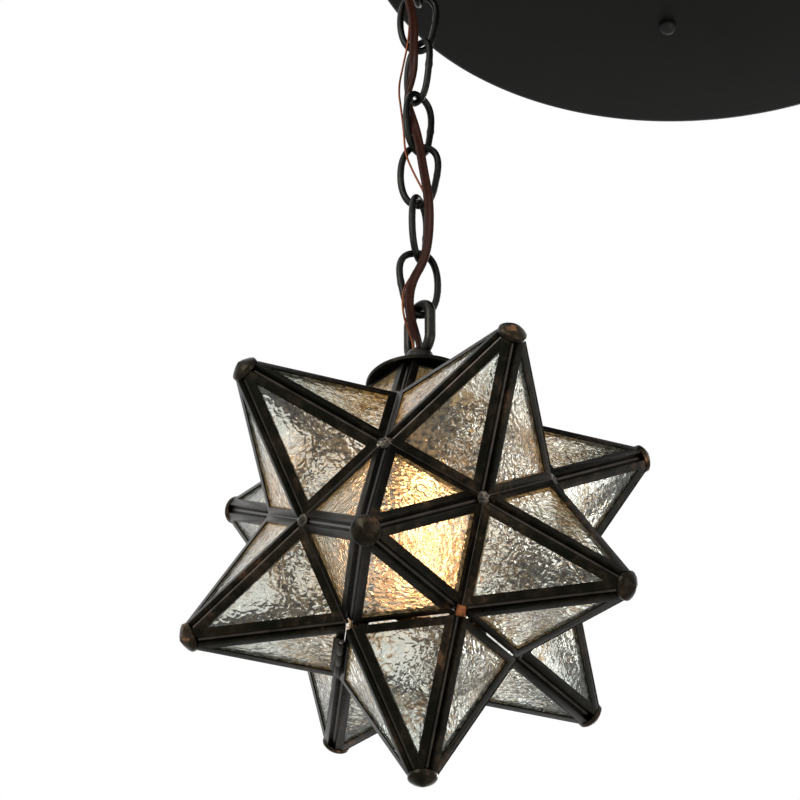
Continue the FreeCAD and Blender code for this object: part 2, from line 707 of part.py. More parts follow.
def crossbar():
    """A flat bar against the ceiling, with tapped ends and holes for the outlet box."""
    length = 2.0 * (size("screw_circle") + size("bar_over"))
    across = BAR_OUT.cross(V(0, 0, 1))
    width = size("bar_width")
    corner = BAR_OUT * (-length / 2) - across * (width / 2) - V(0, 0, size("bar_thick"))
    corners = [corner, corner + BAR_OUT * length, corner + BAR_OUT * length + across * width, corner + across * width]
    bar = Part.Face(Part.makePolygon(corners + corners[:1])).extrude(V(0, 0, size("bar_thick")))
    low = V(0, 0, -2 * size("bar_thick"))
    cuts = [Part.makeCylinder(size("nipple_radius"), 4 * size("bar_thick"), low)]
    for side in (1, -1):
        cuts.append(Part.makeCylinder(size("screw_radius") + size("pin_play"), 4 * size("bar_thick"),
                                      low + BAR_OUT * (side * size("screw_circle"))))
        cuts.append(Part.makeCylinder(size("box_hole"), 4 * size("bar_thick"),
                                      low + BAR_OUT * (side * size("box_spacing") / 2)))
    return bar.cut(Part.makeCompound(cuts))


feature("crossbar", crossbar())

screws = []
cap_nuts = []
for side in (1, -1):
    spot = BAR_OUT * (side * size("screw_circle"))
    low = PAN_FACE - size("cap_nut_height") * 0.6
    screws.append(Part.makeCylinder(size("screw_radius"), -low, spot + V(0, 0, low)))
    nut = Part.makeCylinder(size("cap_nut_radius"), size("cap_nut_height") * 0.4,
                            spot + V(0, 0, PAN_FACE - size("cap_nut_height") * 0.4))
    dome = Part.makeCone(size("cap_nut_radius"), size("cap_nut_radius") * 0.45, size("cap_nut_height") * 0.6,
                         spot + V(0, 0, PAN_FACE - size("cap_nut_height") * 0.4), V(0, 0, -1))
    socket = Part.makeCylinder(size("screw_radius") + size("pin_play"), size("cap_nut_height") * 0.7,
                               spot + V(0, 0, PAN_FACE - size("cap_nut_height") * 0.7))
    cap_nuts.append(nut.fuse(dome).cut(socket).removeSplitter())
feature("canopy_screws", Part.makeCompound(screws))
feature("canopy_cap_nuts", Part.makeCompound(cap_nuts))


def canopy_loop():
    """A collar with a threaded stem above and an oval ring below, bored for the cord."""
    collar = bell(size("collar_radius"), size("boss_foot"), size("collar_neck"), size("collar_height"))
    collar.rotate(V(0, 0, 0), V(1, 0, 0), 180.0)
    collar.translate(HANG_AXIS + V(0, 0, PAN_FACE))
    stem = Part.makeCylinder(size("stem_radius"), size("stem_rise") + size("pan_wall"), HANG_AXIS + V(0, 0, PAN_FACE))
    ring_top = PAN_FACE - size("collar_height") + size("ring_wire") / 2.0
    height = ring_top - LOOP_LOW
    centre = HANG_AXIS + V(0, 0, (ring_top + LOOP_LOW) / 2.0)
    across = link_across(LINK_COUNT).cross(V(0, 0, 1))
    ring = oval_solid(size("ring_width"), height, size("ring_wire"), centre, across)
    way_foot = PAN_FACE - size("collar_height") - size("ring_wire")
    way = Part.makeCylinder(size("cord_bore"), -way_foot, HANG_AXIS + V(0, 0, way_foot))
    return collar.fuse([stem, ring]).cut(way).removeSplitter()


feature("canopy_loop", canopy_loop())
nut_foot = HANG_AXIS + V(0, 0, PAN_FACE + size("pan_wall"))
feature("stem_nut", hex_nut(size("nut_radius") + 2.0, size("stem_radius"), size("nut_thick"), nut_foot))

# ---------------------------------------------------------------- cord and ground wire
# Points are measured from the chain's axis and from the star's centre, which lies this far under
# the lower loop. The lower and upper stretches bend where the star and the chain swing, so they
# are pieces of their own.
LOOP_OVER_STAR = 151.1
LOOP_OVER_LOOP = 254.6
CORD_TAIL = [(0.8, 0, 84), (0.8, 0, 123.5), (-2.5, -3.1, 133), (-5.6, -6.4, 142.5), (-5.6, -6.4, 150.6)]
CORD = [
    (-5.6, -6.4, 150.6), (-5.6, -6.4, 161), (3.4, -6.3, 179), (5.9, -6.4, 200), (5.4, -6.5, 222),
    (2.2, -7.8, 243), (0.2, -8.9, 259), (-3.4, -4.6, 279), (-7.1, 1.1, 297), (-2.6, -1.2, 314),
    (-2.4, -5.7, 331), (-2.3, -6.5, 350), (-5.9, -6.7, 368), (-6.0, -6.6, 388), (-6.0, -6.6, 405.6)]
CORD_HEAD = [(-6.0, -6.6, 405.6), (-6.0, -6.6, 413), (-3.0, -3.3, 421), (0, 0, 430), (0, 0, 446)]
WIRE_TAIL = [(-2.6, 0, 84), (-2.6, 0, 124), (-6.1, -3.1, 133.5), (-9.2, -6.4, 143), (-9.2, -6.4, 150.6)]
WIRE = [
    (-9.2, -6.4, 150.6), (-9.2, -6.4, 156), (-6.6, -3.8, 166), (1.0, -3.6, 177), (5.0, -3.0, 191),
    (5.0, -3.0, 208), (4.2, -3.6, 224), (-2.4, -4.2, 239), (-7.6, -3.9, 254), (-8.2, -3.7, 270),
    (-9.8, -4.0, 286), (-11.4, -3.2, 302), (-8.4, -3.8, 319), (-5.6, -4.4, 335), (-4.6, -3.6, 352),
    (-3.6, -4.0, 371), (-3.9, -4.2, 389), (-3.9, -4.2, 405.6)]
WIRE_HEAD = [(-3.9, -4.2, 405.6), (-3.9, -4.2, 411), (0.3, -4.6, 420), (2.0, -2.1, 429), (2.0, -2.1, 446)]


def along_chain(height):
    """A route's height, carried along as the chain between the two loops gets longer or shorter."""
    over = height - LOOP_OVER_STAR
    share = min(max(over / LOOP_OVER_LOOP, 0.0), 1.0)
    return RING_TOP + over + share * (LOOP_LOW - RING_TOP - LOOP_OVER_LOOP)


def route_wire(route):
    """Straight runs joined by arcs as large as the runs allow, and the least arc radius."""
    points = [HANG_AXIS + V(x, y, along_chain(z)) for x, y, z in route]
    edges = []
    radii = []
    start = points[0]
    for before, corner, after in zip(points, points[1:], points[2:]):
        back, ahead = before - corner, after - corner
        run = min(back.Length, ahead.Length)
        back.normalize()
        ahead.normalize()
        half_turn = (math.pi - back.getAngle(ahead)) / 2.0
        if half_turn < 1e-4:
            continue
        reach = 0.45 * run
        radius = reach / math.tan(half_turn)
        radii.append(radius)
        bisector = back + ahead
        bisector.normalize()
        deep = corner + bisector * (radius / math.cos(half_turn) - radius)
        into, out = corner + back * reach, corner + ahead * reach
        edges.append(Part.LineSegment(start, into).toShape())
        edges.append(Part.Arc(into, deep, out).toShape())
        start = out
    edges.append(Part.LineSegment(start, points[-1]).toShape())
    return Part.Wire(edges), min(radii)


def tube(label, route, radius):
    """A round tube along the route; its volume is compared with section times length."""
    path, tightest = route_wire(route)
    first = path.Edges[0]
    section = Part.Wire(Part.makeCircle(radius, first.Vertexes[0].Point, first.tangentAt(first.FirstParameter)))
    solid = path.makePipeShell([section], True, False)
    expected = math.pi * radius ** 2 * path.Length
    print(label, "length", round(path.Length, 1), "least radius", round(tightest, 1),
          "volume share", round(solid.Volume / expected, 4))
    return feature(label, solid)


CORD_RADIUS = math.sqrt(size("cord_width") * size("cord_thick") / math.pi) * 0.9
tube("lamp_cord", CORD, CORD_RADIUS)
tube("lamp_cord_tail", CORD_TAIL, CORD_RADIUS)
tube("lamp_cord_head", CORD_HEAD, CORD_RADIUS)
tube("ground_wire", WIRE, size("wire_radius"))
tube("ground_wire_tail", WIRE_TAIL, size("wire_radius"))
tube("ground_wire_head", WIRE_HEAD, size("wire_radius"))

# ---------------------------------------------------------------- write the parts
doc.recompute()
for obj in doc.Objects:
    if "Invalid" in obj.State or "Error" in obj.State:
        raise RuntimeError("failed object: " + obj.Label)
for obj in PIECES:
    if obj.Shape.isNull() or not obj.Shape.isValid():
        raise RuntimeError("bad shape: " + obj.Label)

os.makedirs("parts", exist_ok=True)
for obj in PIECES:
    obj.Shape.exportStep(os.path.join("parts", obj.Label + ".step"))
    print(obj.Label, len(obj.Shape.Solids), round(obj.Shape.Volume, 1))
print("pieces", len(PIECES))
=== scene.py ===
import math
import random

import bpy
from bpy.props import FloatProperty, FloatVectorProperty, IntProperty, PointerProperty
from mathutils import Matrix, Vector


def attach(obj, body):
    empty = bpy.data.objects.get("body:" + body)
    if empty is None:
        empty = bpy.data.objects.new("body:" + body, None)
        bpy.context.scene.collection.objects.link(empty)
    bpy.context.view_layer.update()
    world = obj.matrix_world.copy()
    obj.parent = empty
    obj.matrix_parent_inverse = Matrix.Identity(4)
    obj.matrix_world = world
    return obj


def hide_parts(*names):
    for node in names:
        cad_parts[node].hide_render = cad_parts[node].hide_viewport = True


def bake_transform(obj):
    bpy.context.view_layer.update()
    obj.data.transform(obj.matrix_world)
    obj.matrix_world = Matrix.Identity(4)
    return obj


bl_info = {
    "name": "Star pendant dressing",
    "version": (1, 0, 0),
    "blender": (4, 5, 0),
    "location": "View3D > Sidebar > Star pendant",
    "description": "Dresses the star pendant's frame: channel, glass, chain, cord, pan and bulb",
    "category": "Object",
}

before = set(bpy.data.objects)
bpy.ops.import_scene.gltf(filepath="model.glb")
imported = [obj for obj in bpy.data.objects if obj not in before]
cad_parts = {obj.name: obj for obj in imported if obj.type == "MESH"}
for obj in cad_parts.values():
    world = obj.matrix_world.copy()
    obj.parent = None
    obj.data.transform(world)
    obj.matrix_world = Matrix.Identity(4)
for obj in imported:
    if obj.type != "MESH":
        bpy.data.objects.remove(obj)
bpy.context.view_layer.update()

# Places and sizes shared by the pieces, in metres, in the part's frame. Turns are in degrees.
STAR = Vector((-0.1675, 0.0, -0.461))
STAR_RADIUS = 0.140
STAR_TURN = 23.1
GOLDEN = (1.0 + math.sqrt(5.0)) / 2.0
BASE_HEIGHT = STAR_RADIUS / math.sqrt(5.0)
LINK_TURNS = (8.0, 68.0, 2.0, 48.0, -52.0, 6.0, 80.0)
LINK_PITCH = 0.0373
LINK_WIDTH = 0.0204
LINK_HEIGHT = 0.0416
LINK_WIRE = 0.0040
CHAIN_FOOT = STAR.z + 0.1665
CORD_LOW = STAR.z + 0.1506
CORD_HIGH = STAR.z + 0.4056
LOOP_WIRE = 0.0062
LOOP_WIDTH = 0.0185
FIXTURE_LOOP_TOP = -0.3099
CANOPY_LOOP_FOOT = -0.0553
BELL_HEIGHT = 0.0230
COLLAR_HEIGHT = 0.0130
CAP_FOOT = -0.36297
CAP_THICK = 0.0014
PAN_FACE = -0.022
NUT_REACH = 0.105
NUT_TURN = 5.9
BULB_COLLAR = STAR.z + 0.04123
# Centre of the painted glow on the panes.
LAMP = STAR + Vector((0.0, 0.0, 0.010))
SEAM_RADIUS = 0.0014
SEAM_DEPTH = 0.0019
VALLEY_RADIUS = 0.0012
VALLEY_RISE = 0.0017
FINIAL_DROP = 0.0095
DOOR_DROP = 0.0008


# ------------------------------------------------------------------ settings a user may change
class StarPendantColours(bpy.types.PropertyGroup):
    patina_dark: FloatVectorProperty(
        name="Patina, dark", description="Darkest tone of the channel strips", subtype="COLOR",
        size=3, min=0.0, max=1.0, default=(0.0100, 0.0099, 0.0068))
    patina_brown: FloatVectorProperty(
        name="Patina, rubbed", description="Brown that shows where the patina is rubbed",
        subtype="COLOR", size=3, min=0.0, max=1.0, default=(0.042, 0.029, 0.019))
    glass_tint: FloatVectorProperty(
        name="Glass tint", description="Tint of the rippled panes", subtype="COLOR",
        size=3, min=0.0, max=1.0, default=(0.765, 0.785, 0.755))
    pan_colour: FloatVectorProperty(
        name="Pan", description="Paint of the ceiling pan", subtype="COLOR",
        size=3, min=0.0, max=1.0, default=(0.0050, 0.0050, 0.0042))
    cord_colour: FloatVectorProperty(
        name="Cord", description="Jacket of the lamp cord", subtype="COLOR",
        size=3, min=0.0, max=1.0, default=(0.044, 0.0145, 0.0085))
    lamp_colour: FloatVectorProperty(
        name="Lamp light", description="Colour of the glowing strips", subtype="COLOR",
        size=3, min=0.0, max=1.0, default=(1.0, 0.53, 0.21))


class StarPendantSizes(bpy.types.PropertyGroup):
    edge_round: FloatProperty(
        name="Channel edge", description="Rounding of the channel's edges",
        subtype="DISTANCE", unit="LENGTH", min=0.0, max=0.001, default=0.00035)
    solder_size: FloatProperty(
        name="Solder", description="Radius of the solder at each valley corner",
        subtype="DISTANCE", unit="LENGTH", min=0.0, max=0.01, default=0.0044)
    ripple_size: FloatProperty(
        name="Ripple", description="Size of one ripple in the glass",
        subtype="DISTANCE", unit="LENGTH", min=0.0005, max=0.02, default=0.0027)
    ripple_depth: FloatProperty(
        name="Ripple depth", description="Height of the ripples",
        subtype="DISTANCE", unit="LENGTH", min=0.0, max=0.01, default=0.00048)
    lamp_strength: FloatProperty(
        name="Lamp strength", description="Brightness of the glowing strips", min=0.0, max=500.0,
        default=34.0)
    finial_sides: IntProperty(
        name="Finial facets", description="Facets round each finial", min=8, max=64, default=24)


# ------------------------------------------------------------------ materials
class Wire:
    """A socket in a material; arithmetic on it adds Math nodes."""

    def __init__(self, finish, socket):
        self.finish = finish
        self.socket = socket

    def math(self, operation, *others):
        names = {str(place): other for place, other in enumerate((self,) + others)}
        return self.finish.node("Math", settings={"operation": operation}, inputs=names)

    def __add__(self, other):
        return self.math("ADD", other)

    def __sub__(self, other):
        return self.math("SUBTRACT", other)

    def __mul__(self, other):
        return self.math("MULTIPLY", other)

    def __pow__(self, other):
        return self.math("POWER", other)

    def __abs__(self):
        return self.math("ABSOLUTE")

    def between(self, low, high, first=0.0, last=1.0):
        """Eases from first to last as this goes from low to high."""
        values = {"Value": self, "From Min": low, "From Max": high, "To Min": first, "To Max": last}
        return self.finish.node("MapRange", settings={"interpolation_type": "SMOOTHSTEP"}, inputs=values)

    def colours(self, *stops):
        """A colour ramp over (place, (r, g, b)) stops."""
        ramp = self.finish.node("ValToRGB", inputs={"Fac": self})
        points = ramp.socket.node.color_ramp.elements
        while len(points) < len(stops):
            points.new(0.5)
        for point, (place, colour) in zip(points, stops):
            point.position = place
            point.color = tuple(colour) + (1.0,)
        return ramp


class Finish:
    """One material, its shader and its Object coordinates."""

    def __init__(self, name, **surface):
        self.material = bpy.data.materials.new(name)
        self.material.use_nodes = True
        self.tree = self.material.node_tree
        self.shader = self.tree.nodes["Principled BSDF"]
        self.place = self.node("TexCoord", out="Object")
        self.set(**surface)

    def node(self, kind, out=0, settings=None, inputs=None):
        made = self.tree.nodes.new("ShaderNode" + kind)
        for name, value in (settings or {}).items():
            setattr(made, name, value)
        for name, value in (inputs or {}).items():
            socket = made.inputs[int(name)] if name.isdigit() else made.inputs[name]
            if isinstance(value, Wire):
                self.tree.links.new(value.socket, socket)
            else:
                socket.default_value = value
        return Wire(self, made.outputs[out])

    def set(self, **surface):
        """Sets or links the shader's sockets; base_color stands for Base Color, and so on."""
        for name, value in surface.items():
            socket = self.shader.inputs[name.replace("_", " ").title().replace("Ior", "IOR")]
            if isinstance(value, Wire):
                self.tree.links.new(value.socket, socket)
            elif socket.type == "RGBA":
                socket.default_value = tuple(value)[:3] + (1.0,)
            else:
                socket.default_value = value

    def stretched(self, scale):
        return self.node("Mapping", inputs={"Vector": self.place, "Scale": scale})

    def noise(self, size, detail=3.0, rough=0.5, warp=0.0, place=None):
        """Noise whose lumps are about size metres across."""
        values = {"Vector": place or self.place, "Scale": 1.0 / size, "Detail": detail,
                  "Roughness": rough, "Distortion": warp}
        return self.node("TexNoise", inputs=values)

    def bump(self, height, depth, strength):
        normal = self.node("Bump", inputs={"Height": height, "Distance": depth, "Strength": strength})
        self.tree.links.new(normal.socket, self.shader.inputs["Normal"])


def patina(name, colours, copper, polish=0.0, rub=0.0):
    """Darkened brass: near-black patina, rubbed brown streaks and a few coppery spots."""
    finish = Finish(name, metallic=1.0)
    cloud = finish.noise(0.030, 4.0, 0.6)
    mottle = finish.noise(0.006, 5.0, 0.65, 0.4)
    scratch = finish.noise(0.0016, 4.0, 0.7, 1.2)
    worn = (cloud * 0.6 + mottle * 0.5 + scratch * 0.15).between(0.54 - rub, 0.80 - rub)
    dark = Vector(colours.patina_dark)
    brown = Vector(colours.patina_brown)
    copper_tone = dark.lerp(Vector((0.20, 0.10, 0.05)), copper)
    tones = worn.colours((0.0, dark * 0.8), (0.55, dark.lerp(brown, 0.35)), (0.88, brown), (1.0, copper_tone))
    finish.set(base_color=tones)
    finish.set(roughness=(mottle * 0.30 + scratch * 0.16) + (0.17 - polish))
    finish.bump(mottle * 0.7 + scratch * 0.4, 0.00035, 0.5)
    return finish.material


def water_glass(colours, sizes):
    """Clear glass rolled with worm-like ripples, with painted brown reflections of the frames, painted shade
    along the ripples and a painted glow near the lamp.
    """
    finish = Finish("water_glass", transmission_weight=1.0, ior=1.46, roughness=0.085)
    drift = finish.noise(0.024, 1.0)
    lying = finish.stretched((1.0, 1.0, 1.2))
    warped = finish.node("VectorMath", settings={"operation": "ADD"}, inputs={
        "0": lying,
        "1": finish.node("VectorMath", settings={"operation": "SCALE"}, inputs={
            "0": finish.node("TexNoise", out="Color", inputs={"Vector": finish.place, "Scale": 60.0}),
            "Scale": 0.0055})})
    ripple = finish.noise(sizes.ripple_size, 0.6, 0.4, 0.5, warped)
    swell = finish.noise(sizes.ripple_size * 2.6, 1.0, 0.4, 0.3, warped)
    height = ripple + swell * 0.8
    tint = Vector(colours.glass_tint)
    # Painted reflection: the brown blots stand for the frames seen through the ripples, since the glass
    # itself is clear.
    painted_reflection_blots = finish.noise(0.0034, 1.0, 0.5, 0.9, warped)
    painted_frame_reflection = drift.between(0.46, 0.60) * painted_reflection_blots.between(0.545, 0.59)
    # Painted shade: the tint darkens to 0.74 along thin lines that follow the ripples; the ramp's brown stops
    # are the painted reflections.
    painted_ripple_shade = abs(ripple - 0.5).between(0.0, 0.045, 0.4, 0.0)
    tones = (painted_frame_reflection * 0.6 + painted_ripple_shade).colours(
        (0.0, tint), (0.4, tint * 0.74), (0.6, (0.40, 0.27, 0.16)), (1.0, (0.24, 0.14, 0.075)))
    finish.set(base_color=tones)
    # Painted glow: the panes emit light, warm near the lamp and neutral farther off, brighter on the ripple
    # crests as painted glints.
    away = finish.node("VectorMath", out=1, settings={"operation": "DISTANCE"}, inputs={
        "0": finish.place, "1": LAMP})
    painted_lamp_glow = away.between(0.062, 0.112).colours(
        (0.0, (0.76, 0.42, 0.14)), (0.45, (0.32, 0.22, 0.10)), (1.0, (0.12, 0.125, 0.10)))
    finish.set(emission_strength=0.15)
    finish.set(emission_color=finish.node("VectorMath", settings={"operation": "SCALE"}, inputs={
        "0": painted_lamp_glow, "Scale": ripple.between(0.40, 0.62, 0.15, 1.7)}))
    finish.bump(height, sizes.ripple_depth, 1.0)
    return finish.material


def pan_paint(colours):
    """Satin black paint, with the faint swirls of the spun sheet under it."""
    finish = Finish("pan_paint", metallic=0.0, roughness=0.42, specular_ior_level=0.085)
    parts = finish.node("SeparateXYZ", inputs={"Vector": finish.place})
    other = Wire(finish, parts.socket.node.outputs[1])
    radius = (parts * parts + other * other) ** 0.5
    swirl = finish.noise(0.09, 3.0, 0.55, 2.5)
    rings = (radius * 900.0 + swirl * 6.0).math("SINE")
    speck = finish.noise(0.0012, 2.0)
    base = Vector(colours.pan_colour)
    tones = (swirl * 0.8 + speck * 0.2).colours((0.3, base * 0.85), (0.7, base * 1.35))
    finish.set(base_color=tones)
    finish.set(roughness=swirl * 0.22 + rings * 0.012 + speck * 0.06 + 0.26)
    finish.bump(rings * 0.15 + speck * 0.3, 0.00012, 0.4)
    return finish.material


def blackened(name, tone, shine, metallic):
    """Blackened iron: uneven dark coat, worn a little lighter on lumps."""
    finish = Finish(name, metallic=metallic)
    lumps = finish.noise(0.004, 4.0, 0.6)
    grain = finish.noise(0.0009, 3.0, 0.6)
    base = Vector(tone)
    tones = (lumps * 0.7 + grain * 0.3).colours((0.30, base * 0.55), (0.58, base), (0.75, base * 2.0))
    finish.set(base_color=tones)
    finish.set(roughness=lumps * 0.25 + grain * 0.15 + (shine - 0.12))
    finish.bump(lumps * 0.6 + grain * 0.3, 0.00030, 0.6)
    return finish.material


def cord_jacket(colours):
    """Brown vinyl jacket with slight scuffs."""
    finish = Finish("cord_jacket", roughness=0.38, specular_ior_level=0.07)
    scuff = finish.noise(0.003, 4.0, 0.65)
    fine = finish.noise(0.0006, 2.0)
    base = Vector(colours.cord_colour)
    tones = (scuff * 0.8 + fine * 0.2).colours((0.3, base * 0.55), (0.6, base), (0.8, base * 1.5))
    finish.set(base_color=tones)
    finish.set(roughness=scuff * 0.3 + 0.25)
    finish.bump(scuff * 0.4 + fine * 0.3, 0.00015, 0.5)
    return finish.material


def bare_metal(name, tone, rough, tarnish=0.5, grain_size=0.002):
    """Plain metal with tarnish in clouds and fine drawing marks."""
    finish = Finish(name, metallic=1.0)
    cloud = finish.noise(grain_size * 6.0, 3.0, 0.6)
    grain = finish.noise(grain_size * 0.4, 3.0, 0.65)
    base = Vector(tone)
    tones = (cloud * 0.7 + grain * 0.3).colours((0.3, base * (1.0 - tarnish)), (0.65, base))
    finish.set(base_color=tones)
    finish.set(roughness=cloud * 0.2 + grain * 0.1 + (rough - 0.12))
    finish.bump(grain, 0.00008, 0.5)
    return finish.material


def solder_tin(colours):
    """Solder, darkened with the strips, brighter where it ran."""
    finish = Finish("solder_tin", metallic=0.95)
    run = finish.noise(0.0035, 3.0, 0.6, 0.8)
    dark = Vector(colours.patina_dark)
    tones = run.colours((0.35, dark * 1.2), (0.55, (0.085, 0.072, 0.058)), (0.72, (0.26, 0.21, 0.16)))
    finish.set(base_color=tones)
    finish.set(roughness=run * 0.3 + 0.10)
    finish.bump(run, 0.0008, 0.6)
    return finish.material


def glazed_porcelain():
    finish = Finish("glazed_porcelain", roughness=0.22, coat_weight=0.4, coat_roughness=0.08)
    cloud = finish.noise(0.012, 3.0)
    finish.set(base_color=cloud.colours((0.3, (0.70, 0.67, 0.60)), (0.7, (0.84, 0.82, 0.77))))
    finish.bump(cloud, 0.0002, 0.4)
    return finish.material


def bulb_envelope():
    """Thin clear envelope: mostly see-through, with a soft sheen."""
    finish = Finish("bulb_envelope", base_color=(1.0, 0.86, 0.62), roughness=0.06, ior=1.45)
    cloud = finish.noise(0.02, 2.0)
    finish.set(alpha=cloud * 0.08 + 0.16)
    finish.set(emission_strength=0.28)
    finish.set(emission_color=cloud.colours((0.3, (1.0, 0.50, 0.17)), (0.7, (1.0, 0.62, 0.26))))
    return finish.material


def glowing_strip(colours, sizes):
    finish = Finish("glowing_strip", base_color=colours.lamp_colour, roughness=0.4)
    along = finish.noise(0.010, 1.0)
    warm = Vector(colours.lamp_colour)
    finish.set(emission_color=along.colours((0.2, warm * 0.8), (0.8, warm)))
    finish.set(emission_strength=sizes.lamp_strength)
    return finish.material


# ------------------------------------------------------------------ modelling by hand, in code
def look():
    return bpy.context.scene.star_colours


def measure():
    return bpy.context.scene.star_sizes


def only(obj):
    """Object mode, with this object alone selected and active."""
    if bpy.context.object and bpy.context.object.mode != "OBJECT":
        bpy.ops.object.mode_set(mode="OBJECT")
    bpy.ops.object.select_all(action="DESELECT")
    if obj is not None:
        obj.select_set(True)
        bpy.context.view_layer.objects.active = obj


def edit(obj, mode="VERT"):
    only(obj)
    bpy.ops.object.mode_set(mode="EDIT")
    bpy.ops.mesh.select_mode(type=mode)
    bpy.ops.mesh.select_all(action="DESELECT")


def pick(obj, test):
    """Selects the vertices whose place passes the test, and goes back to edit mode."""
    bpy.ops.mesh.select_all(action="DESELECT")
    bpy.ops.object.mode_set(mode="OBJECT")
    for vertex in obj.data.vertices:
        vertex.select = bool(test(vertex.co))
    bpy.ops.object.mode_set(mode="EDIT")


def settled(obj):
    """Applies the place, so the object sits at the origin with its place in its mesh."""
    only(obj)
    bpy.ops.object.transform_apply(location=True, rotation=True, scale=True)
    return obj


def with_modifier(obj, kind, **settings):
    only(obj)
    modifier = obj.modifiers.new(kind.title(), kind)
    for name, value in settings.items():
        setattr(modifier, name, value)
    bpy.ops.object.modifier_apply(modifier=modifier.name)
    return obj


def smooth(obj, degrees):
    only(obj)
    bpy.ops.object.shade_smooth_by_angle(angle=math.radians(degrees))
    return obj


def finished(obj, name, body, material, stands_for=()):
    """Names a piece, gives it its finish and body, and hides the frame's nodes that it stands for.
    body is one body, or two bodies with two points; the two bodies and the points are not used, and the piece
    then only has its place baked into its mesh."""
    obj.name = name
    obj.data.name = name
    obj.data.materials.clear()
    obj.data.materials.append(material)
    if isinstance(body, str):
        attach(obj, body)
    else:
        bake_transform(obj)
    if stands_for:
        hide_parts(*stands_for)
    return obj


def coat(node, material):
    """Gives a frame node its material."""
    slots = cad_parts[node].data.materials
    if not len(slots):
        slots.append(material)
    for place in range(len(slots)):
        slots[place] = material


def twin(node):
    """A copy of a frame node's mesh, merged into clean faces."""
    only(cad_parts[node])
    bpy.ops.object.duplicate()
    copy = bpy.context.object
    for key in list(copy.keys()):
        del copy[key]
    copy.parent = None
    edit(copy)
    bpy.ops.mesh.select_all(action="SELECT")
    bpy.ops.mesh.remove_doubles(threshold=0.00001)
    bpy.ops.mesh.dissolve_limited(angle_limit=math.radians(1.0))
    only(copy)
    return copy


def stacked(rings, place, sides=64):
    """A turned solid: a disc drawn up through (radius, height) rings, closed at both ends."""
    only(None)
    first, low = rings[0]
    bpy.ops.mesh.primitive_circle_add(vertices=sides, radius=first, fill_type="NGON", location=(0, 0, low))
    obj = bpy.context.object
    bpy.ops.object.mode_set(mode="EDIT")
    bpy.ops.mesh.select_mode(type="FACE")
    bpy.ops.mesh.select_all(action="SELECT")
    radius, height = first, low
    for wide, high in rings[1:]:
        bpy.ops.mesh.extrude_region_move(TRANSFORM_OT_translate={"value": (0, 0, high - height)})
        share = wide / radius
        bpy.ops.transform.resize(value=(share, share, 1.0), center_override=(0, 0, high))
        radius, height = wide, high
    bpy.ops.mesh.select_all(action="SELECT")
    bpy.ops.mesh.normals_make_consistent(inside=False)
    only(obj)
    obj.location = Vector(place) + Vector((0, 0, low))
    return settled(obj)


def above(height, profile):
    """The profile's (radius, height) rings, lifted by height."""
    return [(radius, height + rise) for radius, rise in profile]


def joined(parts):
    only(parts[0])
    for part in parts[1:]:
        part.select_set(True)
    bpy.ops.object.join()
    return bpy.context.object


def bowed_link(width, height, wire, place, turn, weld):
    """Round wire bent to an oval with bowed sides, standing on end; weld swells the middle of one side."""
    only(None)
    bpy.ops.curve.primitive_bezier_circle_add(radius=width / 2.0)
    link = bpy.context.object
    for point in link.data.splines[0].bezier_points:
        point.handle_left_type = point.handle_right_type = "ALIGNED"
        wider = 1.25 if abs(point.co.y) > abs(point.co.x) else height / width
        arms = [(arm - point.co) * wider for arm in (point.handle_left, point.handle_right)]
        point.co.y *= height / width
        point.handle_left, point.handle_right = point.co + arms[0], point.co + arms[1]
    link.data.resolution_u = 14
    link.data.bevel_depth = wire / 2.0
    link.data.bevel_resolution = 4
    bpy.ops.object.convert(target="MESH")
    link = bpy.context.object
    edit(link)
    pick(link, lambda co: abs(co.y) < 0.0003 and co.x > 0.0)
    bpy.ops.transform.resize(value=(1.0 + weld, 1.0, 1.0 + weld), center_override=(width / 2.0, 0, 0))
    bpy.ops.mesh.select_all(action="SELECT")
    bpy.ops.mesh.normals_make_consistent(inside=False)
    only(link)
    upright = Matrix.Rotation(math.radians(turn), 4, "Z") @ Matrix.Rotation(math.radians(90.0), 4, "X")
    link.matrix_world = Matrix.Translation(place) @ upright
    return settled(link)


def oval_wire(width, height, wire, place, turn):
    """Round wire bent to a closed oval standing on end."""
    only(None)
    bpy.ops.mesh.primitive_torus_add(
        major_radius=width / 2.0, minor_radius=wire / 2.0, major_segments=48, minor_segments=18)
    ring = bpy.context.object
    edit(ring)
    bpy.ops.mesh.select_all(action="SELECT")
    bpy.ops.transform.rotate(value=math.radians(3.75), orient_axis="Z", center_override=(0, 0, 0))
    leg = (height - width) / 2.0
    for end in (1.0, -1.0):
        pick(ring, lambda co: co.y * end > 0.0)
        bpy.ops.transform.translate(value=(0, end * leg, 0))
    bpy.ops.mesh.select_all(action="SELECT")
    bpy.ops.mesh.normals_make_consistent(inside=False)
    only(ring)
    upright = Matrix.Rotation(math.radians(turn), 4, "Z") @ Matrix.Rotation(math.radians(90.0), 4, "X")
    ring.matrix_world = Matrix.Translation(place) @ upright
    return settled(ring)


# ------------------------------------------------------------------ the star's own points
def azimuth(degrees):
    angle = math.radians(degrees)
    return Vector((math.sin(angle), -math.cos(angle), 0.0))


def star_axes():
    """Each point's direction from the star's centre, by name."""
    axes = {"top": Vector((0, 0, 1)), "door": Vector((0, 0, -1))}
    for number in range(5):
        turn = STAR_TURN + 72.0 * number
        level = 1.0 / math.sqrt(5.0)
        axes["upper_%d" % (number + 1)] = azimuth(turn) * (2.0 * level) + Vector((0, 0, level))
        axes["lower_%d" % (number + 1)] = azimuth(turn + 36.0) * (2.0 * level) - Vector((0, 0, level))
    return axes


AXES = star_axes()


def beside(name):
    axis = AXES[name]
    return [other for other in AXES if abs(axis.dot(AXES[other]) - 1.0 / math.sqrt(5.0)) < 1e-5]


